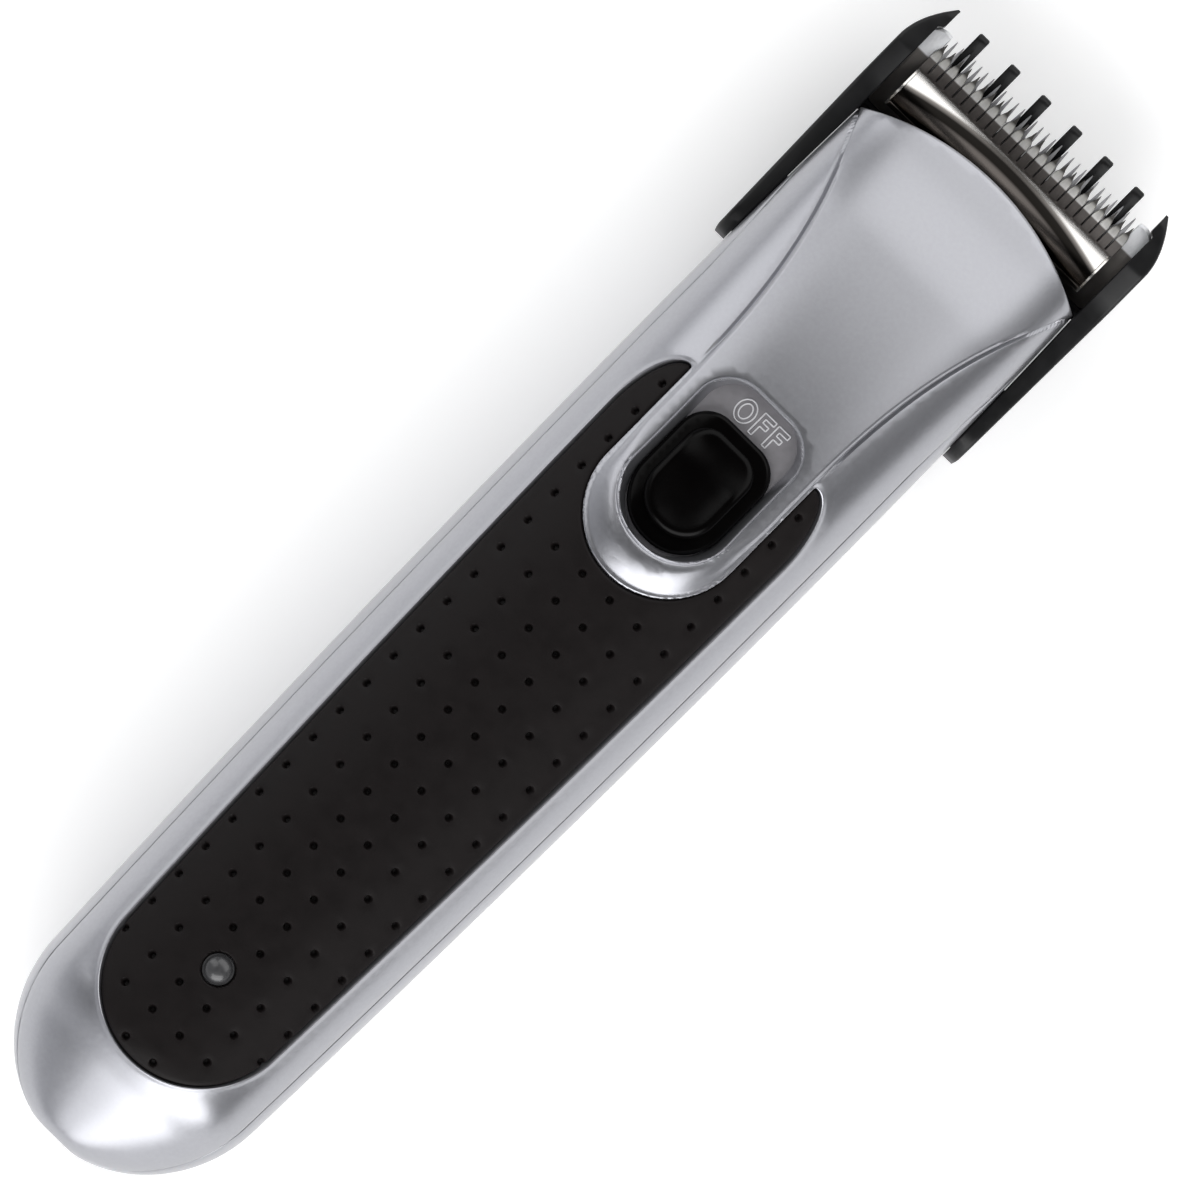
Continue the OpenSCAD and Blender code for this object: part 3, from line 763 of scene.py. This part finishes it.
FIXED_HALF, FIXED_TEETH, FIXED_PITCH = 17.88, 30, 1.0
FIXED_ROWS = ((-5.2, 0.49, -0.95, -0.03), (-3.0, 0.48, -0.95, -0.03), (-2.5, 0.26, -0.9, -0.05),
              (-0.9, 0.14, -0.8, -0.12), (0, 0.06, -0.6, -0.3))
EAR_INNER, EAR_CORNER = 15.3, 1.8
CUTTER_HALF, CUTTER_TEETH, CUTTER_PITCH = 15.65, 24, 1.315
CUTTER_ROWS = ((-5.1, 0.58, 0.04, 0.8), (-3.4, 0.58, 0.04, 0.8), (-2.7, 0.55, 0.04, 0.62),
               (-2.2, 0.4, 0.04, 0.42), (-1.6, 0.17, 0.04, 0.3), (-0.8, 0.04, 0.04, 0.16))
PLATE_HALF = CUTTER_HALF - 0.25
CURL_Y, CURL_Z, CURL_R, CURL_T = 75.65, 15.96, 5.5, 0.6


def fixed_blade(material):
    """Lower blade's plate, with a rounded ear at each side of its teeth."""
    outline = mirrored([[14.7, -18], [14.7, -12.9]], arc(16.9, -12.15, 0.75, -90, 0, 6),
                       arc(FIXED_HALF - EAR_CORNER, -EAR_CORNER, EAR_CORNER, 0, 88, 8),
                       [[EAR_INNER, -0.1], [EAR_INNER - 0.1, -4.8]])
    solid = plate(outline, -0.95, 0, 0.12, 2, step=1.5)
    return new_object("lower_blade", blade_place(solid), material, sharp=25)


def fixed_teeth(material):
    """The lower blade's teeth, darker than its ears."""
    teeth = merge(tooth_row(FIXED_ROWS, FIXED_TEETH, FIXED_PITCH))
    return new_object("lower_teeth", blade_place(teeth), material, sharp=25)


def moving_blade(material):
    """Cutter: pointed teeth in front of a plate."""
    outline = mirrored([[CUTTER_HALF, -11.3], [CUTTER_HALF, -4.95]])
    parts = [plate(outline, 0.05, 0.8, 0.05, 2, step=1.5),
             *tooth_row(CUTTER_ROWS, CUTTER_TEETH, CUTTER_PITCH)]
    return new_object("cutter", blade_place(merge(parts)), material, "cutter", sharp=25)


def curl(start, end, n, inner):
    """Outline (y, z) of a curved band between two angles, from a radius to the plate's outside."""
    near, far = (arc(CURL_Y, CURL_Z, r, start, end, n) for r in (inner, CURL_R + CURL_T))
    return np.vstack([near, far[::-1]])


def cutter_plate(material):
    """Polished curved plate that rises from the cutter to the edge of the head."""
    solid = prism(curl(-92, -180, 40, CURL_R), -PLATE_HALF, PLATE_HALF)
    obj = new_object("cutter_plate", solid, material, "cutter", sharp=30)
    soften(obj, 0.09)
    return obj


def cutter_rims(material):
    """Narrow raised rims down both sides of the curved plate."""
    band = curl(-93, -178, 30, CURL_R - 0.12)
    rims = [prism(band, *sorted((side * PLATE_HALF, side * CUTTER_HALF))) for side in (-1, 1)]
    return new_object("cutter_rims", merge(rims), material, "cutter", sharp=30)


def soften(obj, width):
    """Rounds the sharp edges of a piece."""
    bevel = obj.modifiers.new("soft_edges", "BEVEL")
    bevel.width, bevel.segments, bevel.limit_method = width * MM, 3, "ANGLE"
    bevel.angle_limit = math.radians(40)
    bevel.use_clamp_overlap = True


TINE_PITCH, TINE_COUNT, TINE_HALF = 5.04, 6, 0.76
COMB_BAR = ((-15.5, -2.9), (-15.3, -1.75), (-14.9, -1.6), (-10.4, -1.6), (-10, -1.9), (-10.1, -2.8),
            (-10.5, -3.05), (-15, -3.1))
ARM_ROUND_Y, ARM_CURL_Y = 49.8, 76.4
ARM_STATIONS = ((45.3, 49.5, 10), (50.5, 74, 26), (74.6, 83.2, 30))
ARM_LOW = ((49.8, 4), (66, 2.8), (70, 2.9), (75, 5.2), (83.2, 9.2))
ARM_HIGH = ((49.8, 13.7), (62, 13.9), (70, 14.6), (76, 16.8), (82, 17), (83.2, 16.4))
ARM_OUTER = ((45.3, 19.3), (46, 19.55), (70, 20), (76.4, 20))


def arm_section(y):
    """Outline (x, z) of the right arm at station y: a web, and a lip that reaches in over the shell."""
    if y < ARM_ROUND_Y:
        round_end = math.sqrt(max(0.0, 1 - ((ARM_ROUND_Y - y) / 4.5) ** 2))
        low, high = 8.5 - 4.5 * round_end, 8.5 + 5.2 * round_end
    else:
        low, high = ramp(y, ARM_LOW), ramp(y, ARM_HIGH)
    turn = min(1.0, max(0.0, (y - ARM_CURL_Y) / 6.8))
    outer = ramp(y, ARM_OUTER) - 2.95 * turn ** 1.9
    inner = 17.95 - 1.15 * float(smooth((y - 79.9) / 0.8))
    inner = min(inner, outer - 0.3)
    reach = min(inner, max(float(side_w(y)) + 0.09, 17.4))
    lip = min(1.0, (high - low) / 3)
    step = min(0.5, (inner - reach) * 0.8 + 0.02)
    curve = min(0.45, (outer - inner) / 2 - 0.05, (high - low) / 3)
    corner = arc(outer - curve, high - curve, curve, 0, 90, 4)
    return [(inner, low), (outer - curve, low), (outer, low + curve), *corner, (reach + 0.15, high),
            (reach, high - 0.15), (reach, high - lip), (inner, high - lip - step)]


def comb_arm(side):
    """One side arm: rounded at its lower end, with a fin that curls in at its tip."""
    ys = np.concatenate([np.linspace(*span) for span in ARM_STATIONS])
    rings = [arm_section(y) for y in ys]
    verts = [(side * x, y, z) for y, outline in zip(ys, rings) for x, z in outline]
    return np.array(verts), stack_faces(len(ys), len(rings[0]))


def comb_tine(x):
    """One guide tine behind the blades, with a rounded nose."""
    outline = np.vstack([[(-13, -1.6), (-6, -1.5), (1.3, -1.45)], arc(1.65, -2.07, 0.62, 75, -75, 9),
                         [(0.8, -2.8), (-6, -3.05), (-13, -3.1)]])
    return blade_place(prism(outline, x - TINE_HALF, x + TINE_HALF, 0.18))


def guide_comb(material):
    """Comb: two arms with ribs that run in the grooves, a bar across, and the tines."""
    parts = [comb_arm(side) for side in (-1, 1)]
    parts += [comb_tine((i - (TINE_COUNT - 1) / 2) * TINE_PITCH) for i in range(TINE_COUNT)]
    parts.append(blade_place(prism(COMB_BAR, -18.9, 18.9)))
    for side in (-1, 1):
        low, high = sorted((side * 16.8, side * 18.4))
        parts.append(box_part((low, 46.6, 8.55), (high, 55.7, 10.45)))
    return new_object("comb", merge(parts), material, "comb", sharp=40)


# ---- Camera, light and floor ------------------------------------------------

VIEW_X, VIEW_Y, VIEW_W = 1.39 * MM, 5.43 * MM, 138.6 * MM
VIEW_Z, VIEW_TURN, CAMERA_HEIGHT = 0.022, 44.64, 3.0


def make_camera():
    data = bpy.data.cameras.new("camera")
    data.sensor_width = 36
    data.lens = data.sensor_width * (CAMERA_HEIGHT - VIEW_Z) / VIEW_W
    data.clip_end = 10
    camera = link_object("camera", data)
    camera.location = (VIEW_X, VIEW_Y, CAMERA_HEIGHT)
    camera.rotation_euler = (0, 0, math.radians(VIEW_TURN))
    bpy.context.scene.camera = camera


LIGHT_AIM = Vector((0, 0.01, 0.015))


def area_light(name, location, size, power):
    data = bpy.data.lights.new(name, "AREA")
    data.shape, data.energy = "RECTANGLE", power
    data.size, data.size_y = size
    lamp = link_object(name, data)
    lamp.location = location
    lamp.rotation_euler = (LIGHT_AIM - Vector(location)).to_track_quat("-Z", "Y").to_euler()


def make_lights():
    area_light("left_box", (-0.95, 0.2, 0.9), (0.7, 1.4), 5)
    area_light("right_box", (0.9, 0.6, 0.8), (0.5, 1.0), 0.6)
    area_light("nose_box", (0.62, -0.92, 0.76), (1.5, 1.1), 19)
    area_light("head_box", (0.1, 0.95, 0.9), (1.9, 1.1), 11.5)


def new_nodes(nodes, *kinds):
    return [nodes.new("ShaderNode" + kind) for kind in kinds]


def fill_ramp(node, stops):
    """Gives a color ramp its (place, color) stops."""
    marks = node.color_ramp.elements
    while len(marks) < len(stops):
        marks.new(0.5)
    for mark, (place, color) in zip(marks, stops):
        mark.position = place
        mark.color = (*color, 1)


SKY_TINT = (0.98, 0.99, 1.03)
SKY = ((0.0, 0.85), (0.3, 0.6), (0.6, 0.35), (0.86, 0.1), (1.0, 0.03))
SKY_LEAN, SKY_LEVEL = (-0.26, -0.3, 0), 0.5


def make_world():
    """Soft surroundings: dark overhead and beyond the head, bright towards the nose and the left."""
    world = bpy.data.worlds.new("studio")
    world.use_nodes = True
    nodes, links = world.node_tree.nodes, world.node_tree.links
    coords, split, shades, lean, lift = new_nodes(nodes, "TexCoord", "SeparateXYZ", "ValToRGB",
                                                  "VectorMath", "Math")
    fill_ramp(shades, [(place, [level * share for share in SKY_TINT]) for place, level in SKY])
    lean.operation, lift.operation = "DOT_PRODUCT", "ADD"
    lean.inputs[1].default_value = SKY_LEAN
    lift.inputs[1].default_value = SKY_LEVEL
    links.new(coords.outputs["Generated"], split.inputs["Vector"])
    links.new(coords.outputs["Generated"], lean.inputs[0])
    links.new(lean.outputs["Value"], lift.inputs[0])
    links.new(lift.outputs["Value"], nodes["Background"].inputs["Strength"])
    links.new(split.outputs["Z"], shades.inputs["Fac"])
    links.new(shades.outputs["Color"], nodes["Background"].inputs["Color"])
    bpy.context.scene.world = world


def make_floor(material):
    bpy.ops.mesh.primitive_plane_add(size=6, location=(0, 0, -0.0002))
    floor = bpy.context.object
    floor.name = "studio_floor"
    floor.data.materials.append(material)


# ---- Materials --------------------------------------------------------------

NOISE_SPAN = (0.3, 0.7)


def surface(name, color, rough, metal=0.0, grain=1.5, stretch=(1, 1, 1), tone=0.06, gloss=0.05,
            relief=0.01, relief_grain=0.15, coat=0.0, coat_rough=0.1, specular=0.5):
    """Material whose tone, gloss and relief all vary with noise. Sizes are in millimetres."""
    mat = bpy.data.materials.new(name)
    mat.use_nodes = True
    nodes, links = mat.node_tree.nodes, mat.node_tree.links
    shader = nodes["Principled BSDF"]
    for socket, value in (("Metallic", metal), ("Coat Weight", coat), ("Coat Roughness", coat_rough),
                          ("Specular IOR Level", specular)):
        shader.inputs[socket].default_value = value
    coords, mapping, shades, uneven, bump = new_nodes(nodes, "TexCoord", "Mapping", "ValToRGB",
                                                      "MapRange", "Bump")
    mapping.inputs["Scale"].default_value = stretch
    links.new(coords.outputs["Object"], mapping.inputs["Vector"])

    def noise(size, detail):
        node, = new_nodes(nodes, "TexNoise")
        node.inputs["Scale"].default_value = 1 / (size * MM)
        node.inputs["Detail"].default_value = detail
        links.new(mapping.outputs["Vector"], node.inputs["Vector"])
        return node.outputs["Fac"]

    patches = noise(grain, 5)
    fill_ramp(shades, [(place, [min(1.0, c * share) for c in color])
                       for place, share in zip(NOISE_SPAN, (1 - tone, 1 + tone))])
    links.new(patches, shades.inputs["Fac"])
    links.new(shades.outputs["Color"], shader.inputs["Base Color"])
    for socket, value in (("From Min", NOISE_SPAN[0]), ("From Max", NOISE_SPAN[1]),
                          ("To Min", max(0.02, rough - gloss)), ("To Max", min(1.0, rough + gloss))):
        uneven.inputs[socket].default_value = value
    links.new(patches, uneven.inputs["Value"])
    links.new(uneven.outputs["Result"], shader.inputs["Roughness"])
    bump.inputs["Strength"].default_value = 0.6
    bump.inputs["Distance"].default_value = relief * MM
    links.new(noise(relief_grain, 2), bump.inputs["Height"])
    links.new(bump.outputs["Normal"], shader.inputs["Normal"])
    return mat


def satin_silver():
    return surface("satin_silver", (0.368, 0.371, 0.396), 0.34, metal=0.9, grain=0.5, tone=0.03,
                   gloss=0.02, relief=0.004, relief_grain=0.25, coat=0.25, coat_rough=0.25)


def grip_rubber():
    return surface("grip_rubber", (0.0062, 0.0046, 0.0046), 0.5, grain=2.5, tone=0.12, gloss=0.04,
                   relief=0.012, relief_grain=0.2, specular=0.16)


def plate_paint():
    return surface("plate_paint", (0.22, 0.213, 0.225), 0.42, metal=0.2, grain=0.8, tone=0.05)


def pale_mark():
    # Pale colour of the raised letters.
    return surface("pale_mark", (0.62, 0.62, 0.64), 0.4, grain=0.4, relief=0.003)


def button_gloss():
    return surface("button_gloss", (0.0012, 0.001, 0.001), 0.24, grain=3, tone=0.1, gloss=0.03,
                   relief=0.002, relief_grain=0.6, specular=0.09)


def lamp_plastic():
    return surface("lamp_plastic", (0.045, 0.045, 0.047), 0.3, grain=1, tone=0.08, relief=0.002,
                   coat=0.3)


def dark_plastic():
    return surface("dark_plastic", (0.008, 0.008, 0.0085), 0.45, grain=0.8, tone=0.12, relief=0.008)


def comb_plastic():
    return surface("comb_plastic", (0.006, 0.006, 0.0065), 0.4, grain=2, tone=0.1,
                   relief=0.003, relief_grain=0.5, specular=0.3)


def shaded(mat, level, low, high, stops):
    """Multiplies a material's colour by a tint that follows level, from low to high millimetres."""
    nodes, links = mat.node_tree.nodes, mat.node_tree.links
    shader = nodes["Principled BSDF"]
    span, tints, mix = new_nodes(nodes, "MapRange", "ValToRGB", "VectorMath")
    span.inputs["From Min"].default_value = low * MM
    span.inputs["From Max"].default_value = high * MM
    fill_ramp(tints, [((place - low) / (high - low), tint) for place, tint in stops])
    mix.operation = "MULTIPLY"
    links.new(level, span.inputs["Value"])
    links.new(span.outputs["Result"], tints.inputs["Fac"])
    links.new(shader.inputs["Base Color"].links[0].from_socket, mix.inputs[0])
    links.new(tints.outputs["Color"], mix.inputs[1])
    links.new(mix.outputs["Vector"], shader.inputs["Base Color"])
    return mat


def place_along(mat, bow=0.0):
    """The object's own Y in metres, bent forwards by bow times the square of X."""
    nodes, links = mat.node_tree.nodes, mat.node_tree.links
    coords, split, square, bent = new_nodes(nodes, "TexCoord", "SeparateXYZ", "Math", "Math")
    square.operation, bent.operation = "POWER", "MULTIPLY_ADD"
    square.inputs[1].default_value = 2
    bent.inputs[1].default_value = bow
    links.new(coords.outputs["Object"], split.inputs["Vector"])
    links.new(split.outputs["X"], square.inputs[0])
    links.new(square.outputs["Value"], bent.inputs[0])
    links.new(split.outputs["Y"], bent.inputs[2])
    return bent.outputs["Value"]


MILL_BROWN = (0.16, 0.145, 0.13)
BRIGHT = (1, 1, 1)


def ground_steel():
    """Blade steel, brown from heat treatment behind its ground tips."""
    mat = surface("ground_steel", (0.88, 0.89, 0.91), 0.45, metal=0.35, grain=0.5, stretch=(1, 0.12, 1),
                  tone=0.07, gloss=0.06, relief=0.004)
    return shaded(mat, place_along(mat), 66, 82, ((76.85, MILL_BROWN), (77.05, BRIGHT)))


def tooth_steel():
    return surface("tooth_steel", (0.32, 0.32, 0.33), 0.42, metal=0.5, grain=0.4, stretch=(1, 0.2, 1),
                   tone=0.08, relief=0.003)


def cutter_steel():
    """Cutter steel with ground facets between a darker band and dark tips: the facets carry a painted
    highlight and the tips painted shade.
    """
    mat = surface("cutter_steel", (0.84, 0.83, 0.81), 0.42, metal=0.5, grain=0.4, stretch=(1, 0.2, 1),
                  tone=0.08, relief=0.003)
    # Painted light: the tint paints a highlight on the ground facets and shade on the tips; the band
    # behind them is simply darker.
    return shaded(mat, place_along(mat), 66, 82, (
        (77.05, (0.17, 0.155, 0.148)), (77.2, BRIGHT), (78.1, (0.7, 0.69, 0.67)),
        (78.5, (0.1, 0.095, 0.09))))


def polished_steel_painted_reflection():
    """Polished plate with painted light: painted shade in dark bands and a grey painted reflection in
    front of the head's edge, and a painted highlight along its bend towards the cutter.
    """
    mat = surface("polished_steel_painted_reflection", (0.78, 0.76, 0.74), 0.24, metal=1, grain=0.4, stretch=(0.15, 1, 1),
                  tone=0.05, gloss=0.04, relief=0.002)
    mat.node_tree.nodes["Principled BSDF"].inputs["Specular Tint"].default_value = (0.2, 0.2, 0.2, 1)
    # Painted reflection: the tint stops paint dark shade bands, a grey reflection of the shell's edge
    # and a highlight along the bend, arched across the plate by bow.
    return shaded(mat, place_along(mat, bow=9), 68, 79, (
        (71.8, (0.015, 0.014, 0.013)), (72.4, (0.16, 0.145, 0.135)), (73.2, (0.10, 0.092, 0.088)),
        (73.55, (0.012, 0.011, 0.01)), (74.4, (0.015, 0.014, 0.013)), (74.9, (0.22, 0.21, 0.20)),
        (75.25, BRIGHT), (76.2, (0.9, 0.9, 0.9))))


def plated_metal():
    return surface("plated_metal", (0.72, 0.70, 0.66), 0.2, metal=1, grain=0.6, tone=0.04, relief=0.002)


def screw_steel():
    return surface("screw_steel", (0.42, 0.42, 0.43), 0.34, metal=1, grain=0.4, tone=0.08, relief=0.006)


def white_plastic():
    return surface("white_plastic", (0.78, 0.77, 0.73), 0.4, grain=1.2, tone=0.03, relief=0.006)


def spring_steel():
    return surface("spring_steel", (0.50, 0.50, 0.51), 0.25, metal=1, grain=0.3, relief=0.003)


def motor_steel():
    return surface("motor_steel", (0.58, 0.57, 0.55), 0.32, metal=1, grain=0.7, stretch=(1, 0.2, 1),
                   tone=0.07, relief=0.004)


def magnet_ferrite():
    return surface("magnet_ferrite", (0.045, 0.043, 0.042), 0.6, grain=0.4, tone=0.2, relief=0.015)


def lamination_steel():
    return surface("lamination_steel", (0.33, 0.33, 0.34), 0.4, metal=0.9, grain=0.35,
                   stretch=(0.1, 1, 0.1), tone=0.18, relief=0.02)


def copper_wire():
    return surface("copper_wire", (0.72, 0.32, 0.14), 0.3, metal=0.9, grain=0.3, stretch=(1, 0.2, 1),
                   tone=0.12, relief=0.03, relief_grain=0.2)


def copper_bar():
    return surface("copper_bar", (0.80, 0.42, 0.24), 0.26, metal=1, grain=0.5, tone=0.08, relief=0.003)


def bronze_bush():
    return surface("bronze_bush", (0.55, 0.38, 0.19), 0.42, metal=0.9, grain=0.2, tone=0.14)


def brush_brass():
    return surface("brush_brass", (0.76, 0.58, 0.25), 0.28, metal=1, grain=0.5, relief=0.003)


def shaft_steel():
    return surface("shaft_steel", (0.66, 0.66, 0.66), 0.14, metal=1, grain=0.5, stretch=(1, 0.1, 1),
                   tone=0.04, relief=0.002)


def battery_wrap():
    return surface("battery_wrap", (0.03, 0.16, 0.10), 0.35, grain=4, relief=0.006,
                   relief_grain=1.2, coat=0.4)


def nickel_strip():
    return surface("nickel_strip", (0.66, 0.63, 0.57), 0.3, metal=1, grain=0.5, relief=0.004)


def board_laminate():
    return surface("board_laminate", (0.02, 0.16, 0.05), 0.34, grain=0.7, tone=0.14, coat=0.5)


def component_black():
    return surface("component_black", (0.02, 0.02, 0.02), 0.5, grain=0.4, tone=0.15)


def led_epoxy():
    return surface("led_epoxy", (0.60, 0.05, 0.03), 0.14, grain=1, relief=0.002, coat=0.5)


def lead_red():
    return surface("lead_red", (0.45, 0.02, 0.02), 0.4, grain=0.8, relief=0.006)


def floor_paper():
    """Pale paper with a slight glow of its own, which keeps the shadow soft."""
    mat = surface("floor_paper", (0.95, 0.95, 0.95), 0.9, grain=40, tone=0.004, gloss=0.02,
                  relief_grain=2, specular=0.1)
    shader = mat.node_tree.nodes["Principled BSDF"]
    shader.inputs["Emission Color"].default_value = (1, 1, 1, 1)
    shader.inputs["Emission Strength"].default_value = 0.24
    return mat


# ---- Assembly ---------------------------------------------------------------

# Slots named after their finish, then those with a name of their own
FINISHES = {make.__name__: make for make in (
    dark_plastic, screw_steel, cutter_steel, white_plastic, spring_steel, comb_plastic, motor_steel,
    magnet_ferrite, lamination_steel, copper_wire, copper_bar, bronze_bush, brush_brass, shaft_steel,
    battery_wrap, nickel_strip, board_laminate, component_black, led_epoxy, lead_red)}
FINISHES.update(silver_shell=satin_silver, soft_grip=grip_rubber, grey_plate=plate_paint,
                black_button=button_gloss, smoky_lens=lamp_plastic, plated_pin=plated_metal,
                blade_steel=ground_steel)

# Pieces made here: builder, CAD node it stands for, finish
PIECES = [
    (front_housing, "front_housing", "silver_shell"), (rear_housing, "rear_housing", "silver_shell"),
    (grip_inlay, "grip_inlay", "soft_grip"), (switch_plate, "switch_plate", "grey_plate"),
    (switch_button, "switch_button", "black_button"), (led_lens, "led_lens", "smoky_lens"),
    (fixed_blade, "fixed_blade", "blade_steel"), (guide_comb, "guide_comb", "comb_plastic"),
    (charging_socket, "charging_socket", "dark_plastic"),
]

# CAD nodes kept as they are, by finish, with the width of their softened edges in millimetres
KEPT = {
    "dark_plastic": {"blade_base": 0.12, "motor_bracket": 0.1, "slide_switch_knob": 0.1},
    "plated_pin": {"socket_pin": 0.1},
    "screw_steel": {"housing_screws": 0.1, "blade_screws": 0.1, "motor_screws": 0.1,
                    "bracket_screws": 0.1, "board_screws": 0.1, "driver_rivets": 0.05},
    "white_plastic": {"cutter_driver": 0.1, "motor_end_cap": 0.15, "eccentric_cam": 0.1},
    "spring_steel": {"blade_spring": 0},
    "motor_steel": {"motor_can": 0.25},
    "magnet_ferrite": {"motor_magnets": 0.08},
    "lamination_steel": {"motor_armature": 0.06},
    "copper_wire": {"motor_windings": 0.25},
    "copper_bar": {"motor_commutator": 0.06},
    "bronze_bush": {"motor_bushings": 0.06},
    "brush_brass": {"motor_brushes": 0.04, "motor_terminals": 0.04},
    "shaft_steel": {"motor_shaft": 0.12},
    "battery_wrap": {"battery_cell": 0.4},
    "nickel_strip": {"battery_cap": 0.1, "battery_tabs": 0.03, "slide_switch_body": 0.1},
    "board_laminate": {"circuit_board": 0.06},
    "component_black": {"board_components": 0.08},
    "led_epoxy": {"status_led": 0.15},
    "lead_red": {"charge_leads": 0, "motor_leads": 0},
}


def dress(node, material, edge):
    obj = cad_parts[node]
    obj.data.materials.clear()
    obj.data.materials.append(material)
    if edge:
        soften(obj, edge)


def assemble():
    finishes = {slot: make() for slot, make in FINISHES.items()}
    pieces = [(build, node, slot, finishes[slot]) for build, node, slot in PIECES]
    pieces += [(fixed_teeth, "fixed_blade", "blade_steel", tooth_steel()),
               (moving_blade, "moving_blade", "cutter_steel", finishes["cutter_steel"]),
               (cutter_plate, "moving_blade", "cutter_steel", polished_steel_painted_reflection()),
               (cutter_rims, "moving_blade", "cutter_steel", plated_metal())]
    for build, node, slot, material in pieces:
        obj = build(material)
        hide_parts(node)
    off_mark(pale_mark())
    screw_wells(finishes["silver_shell"])
    for slot, nodes in KEPT.items():
        for node, edge in nodes.items():
            dress(node, finishes[slot], edge)


assemble()
make_floor(floor_paper())
make_world()
make_lights()
make_camera()
bpy.context.scene.view_settings.view_transform = "Standard"
